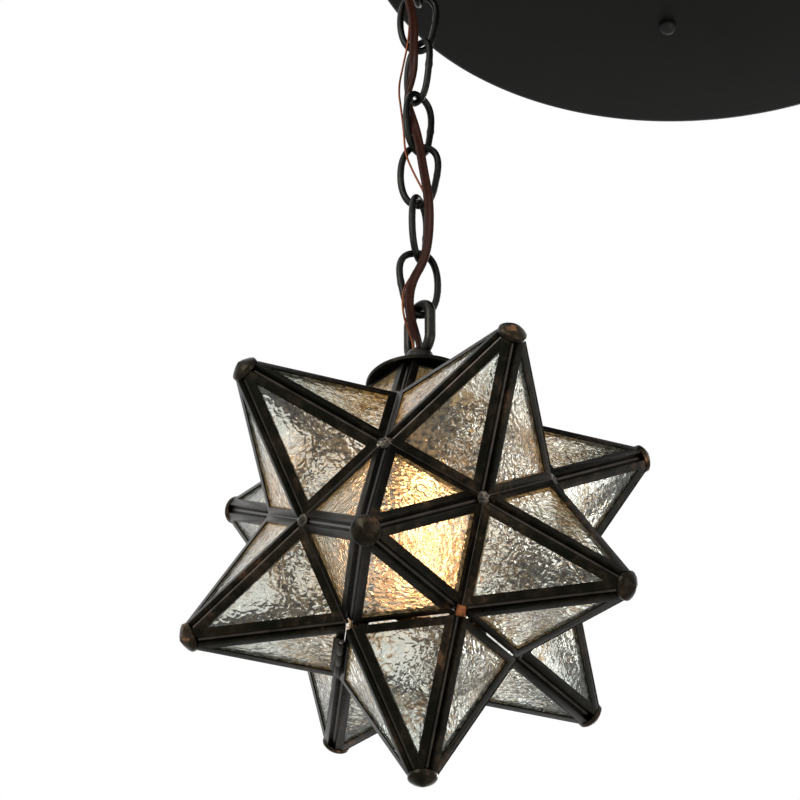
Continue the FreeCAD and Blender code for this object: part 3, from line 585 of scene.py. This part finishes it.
def valley_corners():
    """The twenty corners where three points meet, with the names of the three."""
    found = []
    names = sorted(AXES)
    for a in names:
        for b in beside(a):
            for c in beside(b):
                if a < b < c and c in beside(a):
                    corner = (AXES[a] + AXES[b] + AXES[c]).normalized()
                    reach = BASE_HEIGHT / corner.dot(AXES[a])
                    found.append((corner * reach, (a, b, c)))
    return found


def point_matrix(name):
    """Turns a piece drawn along +Z from the star's centre to its point, with +X towards one of its ridges."""
    axis = AXES[name]
    corner = next(corner for corner, names in valley_corners() if name in names)
    out = (corner - axis * corner.dot(axis)).normalized()
    turn = Matrix((out, axis.cross(out), axis)).transposed().to_4x4()
    drop = DOOR_DROP if name == "door" else 0.0
    return Matrix.Translation(STAR - Vector((0, 0, drop))) @ turn


SIDE_POINTS = ["upper_%d" % n for n in range(1, 6)] + ["lower_%d" % n for n in range(1, 6)]


class CameFrames(bpy.types.Operator):
    """Channel frames of the twelve points, with rounded edges"""
    bl_idname = "star_pendant.came_frames"
    bl_label = "Channel frames"

    def execute(self, context):
        material = patina("came_patina", look(), 0.55)
        for name in SIDE_POINTS + ["top", "door"]:
            piece = twin(name + "_frame")
            with_modifier(piece, "BEVEL", width=measure().edge_round, segments=2, limit_method="ANGLE",
                          angle_limit=math.radians(25.0), use_clamp_overlap=True)
            smooth(piece, 30.0)
            body = "door" if name == "door" else "star"
            finished(piece, name + "_channel", body, material, [name + "_frame"])
        seam = bare_metal("seam_solder", (0.062, 0.052, 0.042), 0.30, 0.75)
        for name in SIDE_POINTS + ["top", "door"]:
            beads = self.seams(STAR_RADIUS - (0.045 if name == "top" else 0.0105))
            beads.matrix_world = point_matrix(name)
            body = "door" if name == "door" else "star"
            finished(smooth(settled(beads), 40.0), name + "_seams", body, seam)
        finished(smooth(self.valleys(), 40.0), "valley_seams", "star", seam)
        return {"FINISHED"}

    def bead(self, start, end, radius):
        """A run of solder from start to end."""
        only(None)
        bpy.ops.mesh.primitive_cylinder_add(vertices=12, radius=radius, depth=(end - start).length)
        bead = bpy.context.object
        edit(bead, "EDGE")
        bpy.ops.mesh.select_all(action="SELECT")
        bpy.ops.mesh.subdivide(number_cuts=3)
        only(bead)
        turn = Vector((0, 0, 1)).rotation_difference(end - start).to_matrix().to_4x4()
        bead.matrix_world = Matrix.Translation((start + end) / 2.0) @ turn
        return settled(bead)

    def valleys(self):
        """Solder in the valleys between fixed points; the door's own valleys stay open."""
        corners = valley_corners()
        parts = []
        for first, (start, names) in enumerate(corners):
            for end, others in corners[first + 1:]:
                shared = set(names) & set(others)
                if len(shared) != 2 or "door" in shared:
                    continue
                out = (start + end).normalized() * VALLEY_RISE
                parts.append(self.bead(STAR + start + out, STAR + end + out, VALLEY_RADIUS))
        return joined(parts)

    def seams(self, high):
        """Solder run along the foot of the groove between neighbouring panes, on all five ridges."""
        base = BASE_HEIGHT * 2.0 / GOLDEN ** 2
        share = (high - BASE_HEIGHT) / (STAR_RADIUS - BASE_HEIGHT)
        parts = []
        for number in range(5):
            angle = math.radians(72.0 * number)
            out = Vector((math.cos(angle), math.sin(angle), 0.0))
            foot = out * base + Vector((0, 0, BASE_HEIGHT))
            tip = Vector((0, 0, STAR_RADIUS))
            away = (out * (STAR_RADIUS - BASE_HEIGHT) + Vector((0, 0, base))).normalized()
            start = foot + (tip - foot) * 0.02 - away * SEAM_DEPTH
            end = foot + (tip - foot) * share - away * SEAM_DEPTH
            parts.append(self.bead(start, end, SEAM_RADIUS))
        return joined(parts)


class Solder(bpy.types.Operator):
    """Run solder at the valley corners and beside the finials"""
    bl_idname = "star_pendant.solder"
    bl_label = "Solder"

    def blob(self, place, outward, wide, high, seed):
        only(None)
        bpy.ops.mesh.primitive_ico_sphere_add(subdivisions=3, radius=1.0)
        drop = bpy.context.object
        luck = random.Random(seed)
        edit(drop)
        for _ in range(3):
            side = Vector((luck.uniform(-1, 1), luck.uniform(-1, 1), luck.uniform(-0.3, 0.5))).normalized()
            pick(drop, lambda co: co.dot(side) > 0.6)
            bpy.ops.transform.translate(value=side * luck.uniform(-0.15, 0.2))
        only(drop)
        turn = Vector((0, 0, 1)).rotation_difference(outward).to_matrix().to_4x4()
        drop.matrix_world = Matrix.Translation(place) @ turn @ Matrix.Diagonal((wide, wide, high, 1.0))
        settled(drop)
        return with_modifier(drop, "SMOOTH", factor=0.5, iterations=3)

    def copper_scrap(self, corner):
        """The bit of bare copper foil stuck over one corner above the door."""
        outward = (corner - AXES["door"] * corner.dot(AXES["door"])).normalized() * 0.8 + corner.normalized()
        only(None)
        bpy.ops.mesh.primitive_cube_add(size=1.0)
        scrap = bpy.context.object
        turn = outward.to_track_quat("Y", "Z").to_matrix().to_4x4()
        size = Matrix.Diagonal((0.0054, 0.0011, 0.0066, 1.0))
        scrap.matrix_world = Matrix.Translation(STAR + corner + outward * 0.0015) @ turn @ size
        settled(scrap)
        edit(scrap)
        bpy.ops.mesh.select_all(action="SELECT")
        bpy.ops.mesh.subdivide(number_cuts=3, fractal=0.0010, seed=4)
        only(scrap)
        with_modifier(scrap, "SMOOTH", factor=0.5, iterations=2)
        finished(smooth(scrap, 60.0), "copper_foil_scrap", "star",
                 bare_metal("foil_copper", (0.30, 0.105, 0.042), 0.42, 0.95, 0.0006))

    def execute(self, context):
        material = solder_tin(look())
        size = measure().solder_size
        parts = []
        for number, (corner, names) in enumerate(valley_corners()):
            if "door" in names:
                continue
            outward = corner.normalized()
            place = STAR + corner + outward * 0.0010
            parts.append(self.blob(place, outward, size, size * 0.34, number))
        for number, name in enumerate(SIDE_POINTS):
            matrix = point_matrix(name)
            for side in (0, 2):
                angle = math.radians(72.0 * side + 36.0)
                low = STAR_RADIUS - 0.0118
                spot = Vector((math.cos(angle) * 0.0062, math.sin(angle) * 0.0062, low))
                outward = (matrix.to_3x3() @ Vector((math.cos(angle), math.sin(angle), 0.4))).normalized()
                parts.append(self.blob(matrix @ spot, outward, 0.0022, 0.0016, 100 + number * 5 + side))
        piece = smooth(joined(parts), 60.0)
        finished(piece, "star_solder", "star", material)
        for corner, names in valley_corners():
            if names == ("door", "lower_1", "lower_5"):
                self.copper_scrap(corner)
        return {"FINISHED"}


class Finials(bpy.types.Operator):
    """Low cone at the end of each point"""
    bl_idname = "star_pendant.finials"
    bl_label = "Finials"

    def finial(self, name):
        foot = STAR_RADIUS - FINIAL_DROP
        profile = [(0.0070, 0.0), (0.0076, 0.0004), (0.0076, 0.0021), (0.0073, 0.0027),
                   (0.0060, 0.0038), (0.0030, 0.0055), (0.0009, 0.0063), (0.0003, 0.0065)]
        piece = stacked(above(foot, profile), (0, 0, 0), measure().finial_sides)
        piece.matrix_world = point_matrix(name)
        return smooth(settled(piece), 24.0)

    def execute(self, context):
        material = patina("finial_patina", look(), 1.0, 0.10, 0.05)
        ten = joined([self.finial(name) for name in SIDE_POINTS])
        finished(smooth(ten, 24.0), "point_finials", "star", material, ["finials"])
        finished(self.finial("door"), "door_point_finial", "door", material, ["door_finial"])
        return {"FINISHED"}


class Panes(bpy.types.Operator):
    """Rippled glass on every pane"""
    bl_idname = "star_pendant.panes"
    bl_label = "Panes"

    def execute(self, context):
        material = water_glass(look(), measure())
        for name in SIDE_POINTS + ["top", "door"]:
            coat(name + "_panes", material)
        return {"FINISHED"}


class HingeAndCatch(bpy.types.Operator):
    """Hinge leaves, pin and catch of the bottom door"""
    bl_idname = "star_pendant.hinge"
    bl_label = "Hinge and catch"

    def execute(self, context):
        leafy = patina("hinge_patina", look(), 0.35)
        strips = (("hinge_leaf_fixed", "star"), ("hinge_leaf_door", "door"), ("door_catch", "door"))
        for node, body in strips:
            piece = twin(node)
            with_modifier(piece, "BEVEL", width=0.00012, segments=2, limit_method="ANGLE",
                          angle_limit=math.radians(30.0), use_clamp_overlap=True)
            finished(smooth(piece, 32.0), node + "_strip", body, leafy, [node])
        pin = twin("hinge_pin")
        with_modifier(pin, "BEVEL", width=0.0001, segments=2, limit_method="ANGLE",
                      angle_limit=math.radians(40.0))
        finished(smooth(pin, 32.0), "hinge_rod", "star",
                 bare_metal("pin_steel", (0.30, 0.28, 0.25), 0.35), ["hinge_pin"])
        return {"FINISHED"}


class CapAndLoop(bpy.types.Operator):
    """Round cap of the top point and the cast loop on it"""
    bl_idname = "star_pendant.cap"
    bl_label = "Cap and loop"

    def execute(self, context):
        profile = [(0.0052, 0.0), (0.0280, 0.0), (0.0290, 0.0003), (0.0292, 0.0009), (0.0292, 0.0021),
                   (0.0290, 0.0025), (0.0284, 0.0026), (0.0275, 0.0021), (0.0268, 0.0015),
                   (0.0260, CAP_THICK), (0.0128, CAP_THICK), (0.0052, CAP_THICK)]
        cap = stacked(above(CAP_FOOT, profile), (STAR.x, 0, 0), 96)
        finished(smooth(cap, 40.0), "top_cap_disc", "star",
                 patina("cap_patina", look(), 0.3, -0.04), ["top_cap"])
        iron = blackened("loop_iron", (0.022, 0.020, 0.016), 0.24, 0.9)
        top = CAP_FOOT + CAP_THICK
        profile = [(0.0122, 0.0), (0.0125, 0.0004), (0.0125, 0.0021), (0.0121, 0.0027), (0.0108, 0.0040),
                   (0.0093, 0.0064), (0.0082, 0.0100), (0.0076, 0.0145), (0.0076, 0.0185), (0.0068, 0.0206),
                   (0.0054, 0.0219), (0.0036, 0.0228), (0.0010, BELL_HEIGHT)]
        bell = stacked(above(top, profile), (STAR.x, 0, 0))
        low, high = top + BELL_HEIGHT - LOOP_WIRE / 2.0, FIXTURE_LOOP_TOP
        ring = oval_wire(LOOP_WIDTH, high - low, LOOP_WIRE, (STAR.x, 0, (high + low) / 2.0), -52.0)
        loop = smooth(joined([bell, ring]), 50.0)
        finished(loop, "fixture_loop_cast", "star", iron, ["fixture_loop"])
        return {"FINISHED"}


class Chain(bpy.types.Operator):
    """Seven welded links"""
    bl_idname = "star_pendant.chain"
    bl_label = "Chain"

    def execute(self, context):
        material = blackened("chain_iron", (0.0165, 0.0165, 0.0140), 0.30, 0.9)
        for number, turn in enumerate(LINK_TURNS):
            place = (STAR.x, 0.0, CHAIN_FOOT + number * LINK_PITCH)
            welded_left = 180.0 if number == 0 else 0.0
            link = bowed_link(LINK_WIDTH, LINK_HEIGHT, LINK_WIRE, place, turn + welded_left, 0.16)
            name = "chain_link_%d" % (number + 1)
            finished(smooth(link, 60.0), name + "_wire", "chain", material, [name])
        return {"FINISHED"}


# Routes of the cord and the wire, in millimetres from the chain's axis and the star's centre.
CORD_TAIL = [(0.8, 0, 84), (0.8, 0, 123.5), (-2.5, -3.1, 133), (-5.6, -6.4, 142.5), (-5.6, -6.4, 150.6)]
CORD = [
    (-5.6, -6.4, 150.6), (-5.6, -6.4, 161), (3.4, -6.3, 179), (5.9, -6.4, 200), (5.4, -6.5, 222),
    (2.2, -7.8, 243), (0.2, -8.9, 259), (-3.4, -4.6, 279), (-7.1, 1.1, 297), (-2.6, -1.2, 314),
    (-2.4, -5.7, 331), (-2.3, -6.5, 350), (-5.9, -6.7, 368), (-6.0, -6.6, 388), (-6.0, -6.6, 405.6)]
CORD_HEAD = [(-6.0, -6.6, 405.6), (-6.0, -6.6, 413), (-3.0, -3.3, 421), (0, 0, 430), (0, 0, 446)]
WIRE_TAIL = [(-2.6, 0, 84), (-2.6, 0, 124), (-6.1, -3.1, 133.5), (-9.2, -6.4, 143), (-9.2, -6.4, 150.6)]
WIRE = [
    (-9.2, -6.4, 150.6), (-9.2, -6.4, 156), (-6.6, -3.8, 166), (1.0, -3.6, 177), (5.0, -3.0, 191),
    (5.0, -3.0, 208), (4.2, -3.6, 224), (-2.4, -4.2, 239), (-7.6, -3.9, 254), (-8.2, -3.7, 270),
    (-9.8, -4.0, 286), (-11.4, -3.2, 302), (-8.4, -3.8, 319), (-5.6, -4.4, 335), (-4.6, -3.6, 352),
    (-3.6, -4.0, 371), (-3.9, -4.2, 389), (-3.9, -4.2, 405.6)]
WIRE_HEAD = [(-3.9, -4.2, 405.6), (-3.9, -4.2, 411), (0.3, -4.6, 420), (2.0, -2.1, 429), (2.0, -2.1, 446)]
CORD_WIDTH = 0.0054
CORD_THICK = 0.0028


class CordAndWire(bpy.types.Operator):
    """Flat twin lamp cord and bare ground wire, woven through the chain"""
    bl_idname = "star_pendant.cord"
    bl_label = "Cord and ground wire"

    def spline(self, name, route, tilts=()):
        curve = bpy.data.curves.new(name, "CURVE")
        curve.dimensions = "3D"
        curve.resolution_u = 8
        line = curve.splines.new("NURBS")
        line.points.add(len(route) - 1)
        for number, (x, y, z) in enumerate(route):
            line.points[number].co = (STAR.x + x / 1000.0, y / 1000.0, STAR.z + z / 1000.0, 1.0)
            line.points[number].tilt = math.radians(tilts[number] if tilts else 0.0)
        line.order_u = 3
        line.use_endpoint_u = True
        obj = bpy.data.objects.new(name, curve)
        bpy.context.scene.collection.objects.link(obj)
        return obj

    def followed(self, obj):
        """The points along the spline."""
        graph = bpy.context.evaluated_depsgraph_get()
        mesh = bpy.data.meshes.new_from_object(obj.evaluated_get(graph))
        points = [vertex.co.copy() for vertex in mesh.vertices]
        bpy.data.meshes.remove(mesh)
        return points

    def twin_outline(self):
        """Section of the flat cord: two round cores side by side, with a groove between."""
        painted_ripple_shade = bpy.data.curves.new("cord_section", "CURVE")
        painted_ripple_shade.dimensions = "2D"
        edge = painted_ripple_shade.splines.new("POLY")
        places = []
        half = CORD_THICK / 2.0
        away = CORD_WIDTH / 2.0 - half
        for side in (1.0, -1.0):
            for step in range(9):
                angle = math.radians(-128.0 + 32.0 * step) if side > 0 else math.radians(52.0 + 32.0 * step)
                places.append((side * away + half * math.cos(angle), half * math.sin(angle)))
        edge.points.add(len(places) - 1)
        for number, (x, y) in enumerate(places):
            edge.points[number].co = (x, y, 0.0, 1.0)
        edge.use_cyclic_u = True
        obj = bpy.data.objects.new("cord_section", painted_ripple_shade)
        bpy.context.scene.collection.objects.link(obj)
        return obj

    def tube(self, curve):
        """The curve's thickness as a closed mesh."""
        curve.data.use_fill_caps = True
        only(curve)
        bpy.ops.object.convert(target="MESH")
        piece = bpy.context.object
        edit(piece)
        bpy.ops.mesh.select_all(action="SELECT")
        bpy.ops.mesh.remove_doubles(threshold=0.000005)
        bpy.ops.mesh.normals_make_consistent(inside=False)
        only(piece)
        return smooth(piece, 50.0)

    def flat(self, name, route, body, node, tilts):
        path = self.spline(name, route, tilts)
        points = self.followed(path)
        section = self.twin_outline()
        path.data.bevel_mode = "OBJECT"
        path.data.bevel_object = section
        piece = self.tube(path)
        bpy.data.objects.remove(section)
        finished(piece, name, body, self.jacket, [node])

    def round(self, name, route, body, node):
        path = self.spline(name, route)
        points = self.followed(path)
        path.data.bevel_depth = 0.0006
        path.data.bevel_resolution = 3
        piece = self.tube(path)
        finished(piece, name, body, self.copper, [node])

    def execute(self, context):
        self.jacket = cord_jacket(look())
        self.copper = bare_metal("ground_copper", (0.25, 0.070, 0.022), 0.42, 0.7, 0.004)
        tail = ("star", "chain", (STAR.x, 0, CORD_LOW - 0.022), (STAR.x, 0, CORD_LOW))
        head = ("canopy", "chain", (STAR.x, 0, CORD_HIGH + 0.016), (STAR.x, 0, CORD_HIGH))
        self.flat("cord_jacket_tail", CORD_TAIL, tail, "lamp_cord_tail", [90, 80, 40, 20, 20])
        middle = [20, 0, -25, -20, 0, 20, 10, -30, -60, -30, 10, 20, 40, 40, 40]
        self.flat("cord_jacket_run", CORD, "chain", "lamp_cord", middle)
        self.flat("cord_jacket_head", CORD_HEAD, head, "lamp_cord_head", [40, 40, 50, 60, 60])
        self.round("ground_run_tail", WIRE_TAIL, tail, "ground_wire_tail")
        self.round("ground_run", WIRE, "chain", "ground_wire")
        self.round("ground_run_head", WIRE_HEAD, head, "ground_wire_head")
        return {"FINISHED"}


class Lamp(bpy.types.Operator):
    """Lampholder, socket and bulb"""
    bl_idname = "star_pendant.lamp"
    bl_label = "Lampholder and bulb"

    def execute(self, context):
        shell = patina("holder_patina", look(), 0.3)
        for node in ("lampholder_cap", "lampholder_shell"):
            piece = twin(node)
            with_modifier(piece, "BEVEL", width=0.0003, segments=2, limit_method="ANGLE",
                          angle_limit=math.radians(30.0), use_clamp_overlap=True)
            finished(smooth(piece, 35.0), node + "_metal", "star", shell, [node])
        coat("socket_insert", glazed_porcelain())
        steel = bare_metal("zinc_steel", (0.52, 0.50, 0.46), 0.36, 0.45)
        coat("nipple", steel)
        coat("lock_nut", steel)
        collar = BULB_COLLAR
        rings = [(0.0126, collar)]
        for turn in range(7):
            low = collar + 0.001 + turn * 0.0026
            rings += [(0.0124, low), (0.0131, low + 0.0009), (0.0131, low + 0.0016), (0.0124, low + 0.0025)]
        rings += [(0.0105, collar + 0.0215), (0.0046, collar + 0.0247), (0.0010, collar + 0.0250)]
        base = stacked(rings, (STAR.x, 0, 0))
        finished(smooth(base, 50.0), "bulb_screw_base", "star",
                 bare_metal("bulb_aluminium", (0.80, 0.78, 0.74), 0.28, 0.2), ["bulb_base"])
        outer = above(collar, [
            (0.0126, -0.0002), (0.0131, -0.0080), (0.0149, -0.0156), (0.0190, -0.0240), (0.0240, -0.0320),
            (0.0276, -0.0400), (0.0292, -0.0480), (0.0288, -0.0560), (0.0262, -0.0640), (0.0215, -0.0705),
            (0.0150, -0.0752), (0.0075, -0.0775), (0.0010, -0.0780)])
        inner = [(max(radius - 0.0009, 0.0004), height + (0.0009 if radius < 0.02 else 0.0002))
                 for radius, height in reversed(outer[1:])]
        inner.append((0.0117, collar - 0.0011))
        glass = stacked(outer + inner, (STAR.x, 0, 0))
        finished(smooth(glass, 60.0), "bulb_envelope_glass", "star", bulb_envelope(),
                 ["bulb_glass"])
        core = twin("bulb_core")
        finished(smooth(core, 45.0), "bulb_glow_core", "star",
                 glowing_strip(look(), measure()), ["bulb_core"])
        return {"FINISHED"}


class CeilingPan(bpy.types.Operator):
    """Round ceiling pan with its loop, nuts and crossbar"""
    bl_idname = "star_pendant.pan"
    bl_label = "Ceiling pan"

    def execute(self, context):
        outside = [(0.0020, 0.0), (0.1000, 0.0), (0.1990, 0.0), (0.2006, 0.0002), (0.2018, 0.0007),
                   (0.2027, 0.0016), (0.2031, 0.0028), (0.2032, 0.0050)]
        rim = [(0.2032, -0.0003), (0.2029, -0.0001), (0.2025, 0.0), (0.2021, -0.0001), (0.2018, -0.0003)]
        inside = [(0.2018, 0.0040), (0.2012, 0.0022), (0.1996, 0.0014), (0.1000, 0.0014), (0.0020, 0.0014)]
        pan = stacked(above(PAN_FACE, outside) + rim + above(PAN_FACE, inside), (0, 0, 0), 256)
        finished(smooth(pan, 40.0), "ceiling_pan", "canopy", pan_paint(look()),
                 ["canopy_pan"])
        coat("crossbar", bare_metal("bar_steel", (0.52, 0.50, 0.46), 0.38, 0.4, 0.004))
        coat("canopy_screws", bare_metal("screw_steel", (0.52, 0.50, 0.46), 0.34, 0.4))
        coat("stem_nut", bare_metal("nut_steel", (0.50, 0.48, 0.44), 0.36, 0.4))
        bronze = blackened("nut_bronze", (0.0075, 0.0075, 0.0065), 0.46, 0.5)
        nuts = []
        profile = [(0.0050, 0.0), (0.0052, -0.0003), (0.0052, -0.0022), (0.0049, -0.0027), (0.0040, -0.0044),
                   (0.0028, -0.0056), (0.0010, -0.0060)]
        angle = math.radians(NUT_TURN)
        for side in (1.0, -1.0):
            spot = Vector((-math.sin(angle), math.cos(angle), 0.0)) * (NUT_REACH * side)
            nuts.append(stacked(above(PAN_FACE, profile), spot, 32))
        finished(smooth(joined(nuts), 35.0), "pan_cap_nuts", "canopy", bronze,
                 ["canopy_cap_nuts"])
        iron = blackened("canopy_loop_iron", (0.024, 0.023, 0.019), 0.28, 0.9)
        profile = [(0.0108, 0.0), (0.0110, -0.0004), (0.0110, -0.0021), (0.0105, -0.0028), (0.0088, -0.0048),
                   (0.0072, -0.0070), (0.0066, -0.0095), (0.0058, -0.0112), (0.0040, -0.0126),
                   (0.0010, -COLLAR_HEIGHT)]
        collar = stacked(above(PAN_FACE, profile), (STAR.x, 0, 0))
        profile = [(0.0056, 0.0), (0.0060, 0.0003), (0.0060, 0.0100), (0.0055, 0.0104)]
        stem = stacked(above(PAN_FACE, profile), (STAR.x, 0, 0), 32)
        high, low = PAN_FACE - COLLAR_HEIGHT + LOOP_WIRE / 2.0, CANOPY_LOOP_FOOT
        ring = oval_wire(LOOP_WIDTH, high - low, LOOP_WIRE, (STAR.x, 0, (high + low) / 2.0), -10.0)
        loop = joined([collar, stem, ring])
        finished(smooth(loop, 50.0), "canopy_loop_cast", "canopy", iron, ["canopy_loop"])
        return {"FINISHED"}


# ------------------------------------------------------------------ stage
class Stage(bpy.types.Operator):
    """Pale floor, soft lights, white surroundings and the photograph's camera"""
    bl_idname = "star_pendant.stage"
    bl_label = "Stage"

    def camera(self):
        data = bpy.data.cameras.new("camera")
        data.sensor_width = 36.0
        data.lens = 135.1
        obj = bpy.data.objects.new("camera", data)
        bpy.context.scene.collection.objects.link(obj)
        rise, yaw, roll = math.radians(33.28), math.radians(-0.46), math.radians(-0.12)
        forward = Vector((math.sin(yaw) * math.cos(rise), math.cos(yaw) * math.cos(rise), math.sin(rise)))
        right = Vector((math.cos(yaw), -math.sin(yaw), 0.0))
        up = right.cross(forward)
        side = right * math.cos(roll) + up * math.sin(roll)
        top = side.cross(forward)
        place = STAR + Vector((0.0, -9.59578, -5.65173)) * STAR_RADIUS
        turn = Matrix((side, top, -forward)).transposed().to_4x4()
        obj.matrix_world = Matrix.Translation(place) @ turn
        bpy.context.scene.camera = obj

    def lamp(self, name, place, size, power):
        """A soft square light aimed at the star."""
        data = bpy.data.lights.new(name, "AREA")
        data.size = size
        data.energy = power
        obj = bpy.data.objects.new(name, data)
        bpy.context.scene.collection.objects.link(obj)
        obj.location = place
        obj.rotation_euler = (STAR - obj.location).to_track_quat("-Z", "Y").to_euler()

    def surroundings(self):
        world = bpy.data.worlds.new("surroundings")
        bpy.context.scene.world = world
        world.use_nodes = True
        tree = world.node_tree
        back = tree.nodes["Background"]
        rays = tree.nodes.new("ShaderNodeLightPath")
        seen = None
        for name in ("Is Camera Ray", "Is Glossy Ray", "Is Transmission Ray"):
            if seen is None:
                seen = rays.outputs[name]
                continue
            most = tree.nodes.new("ShaderNodeMath")
            most.operation = "MAXIMUM"
            tree.links.new(seen, most.inputs[0])
            tree.links.new(rays.outputs[name], most.inputs[1])
            seen = most.outputs[0]
        level = tree.nodes.new("ShaderNodeMapRange")
        level.inputs["To Min"].default_value = 0.45
        level.inputs["To Max"].default_value = 1.0
        tree.links.new(seen, level.inputs["Value"])
        tree.links.new(level.outputs["Result"], back.inputs["Strength"])
        back.inputs["Color"].default_value = (1.0, 1.0, 1.0, 1.0)

    def floor(self):
        only(None)
        bpy.ops.mesh.primitive_plane_add(size=14.0, location=(0.0, 0.0, -2.4))
        floor = settled(bpy.context.object)
        floor.name = "floor"
        finish = Finish("floor_paint", roughness=0.85)
        cloud = finish.noise(1.5, 2.0)
        finish.set(base_color=cloud.colours((0.3, (0.80, 0.80, 0.80)), (0.7, (0.83, 0.83, 0.83))))
        seen = finish.node("LightPath", out="Is Camera Ray")
        for name in ("Is Glossy Ray", "Is Transmission Ray"):
            seen = seen.math("MAXIMUM", finish.node("LightPath", out=name))
        finish.set(emission_strength=0.3)
        finish.set(emission_color=seen.colours((0.0, (0.0, 0.0, 0.0)), (1.0, (1.0, 1.0, 1.0))))
        floor.data.materials.append(finish.material)

    def execute(self, context):
        context.scene.view_settings.view_transform = "Standard"
        self.surroundings()
        self.floor()
        self.lamp("key", (-1.6, -1.5, 0.7), 1.0, 27.0)
        self.lamp("fill", (1.5, -1.5, -0.9), 1.2, 9.0)
        self.lamp("back", (0.6, 1.6, 0.3), 1.0, 12.0)
        self.camera()
        return {"FINISHED"}


STEPS = (CameFrames, Solder, Finials, Panes, HingeAndCatch, CapAndLoop, Chain, CordAndWire, Lamp, CeilingPan,
         Stage)


class StarPendantPanel(bpy.types.Panel):
    """Lists the pieces and their settings"""
    bl_idname = "VIEW3D_PT_star_pendant"
    bl_label = "Star pendant"
    bl_space_type = "VIEW_3D"
    bl_region_type = "UI"
    bl_category = "Star pendant"

    def draw(self, context):
        layout = self.layout
        for group in (context.scene.star_colours, context.scene.star_sizes):
            for name in group.bl_rna.properties.keys():
                if name not in ("rna_type", "name"):
                    layout.prop(group, name)
        for step in STEPS:
            layout.operator(step.bl_idname)


CLASSES = (StarPendantColours, StarPendantSizes) + STEPS + (StarPendantPanel,)


def register():
    for each in CLASSES:
        bpy.utils.register_class(each)
    bpy.types.Scene.star_colours = PointerProperty(type=StarPendantColours)
    bpy.types.Scene.star_sizes = PointerProperty(type=StarPendantSizes)


def unregister():
    del bpy.types.Scene.star_sizes
    del bpy.types.Scene.star_colours
    for each in reversed(CLASSES):
        bpy.utils.unregister_class(each)


def main():
    register()
    for step in STEPS:
        group, name = step.bl_idname.split(".")
        if getattr(getattr(bpy.ops, group), name)() != {"FINISHED"}:
            raise RuntimeError("step did not finish: " + step.bl_label)
    only(None)


if __name__ == "__main__":
    main()
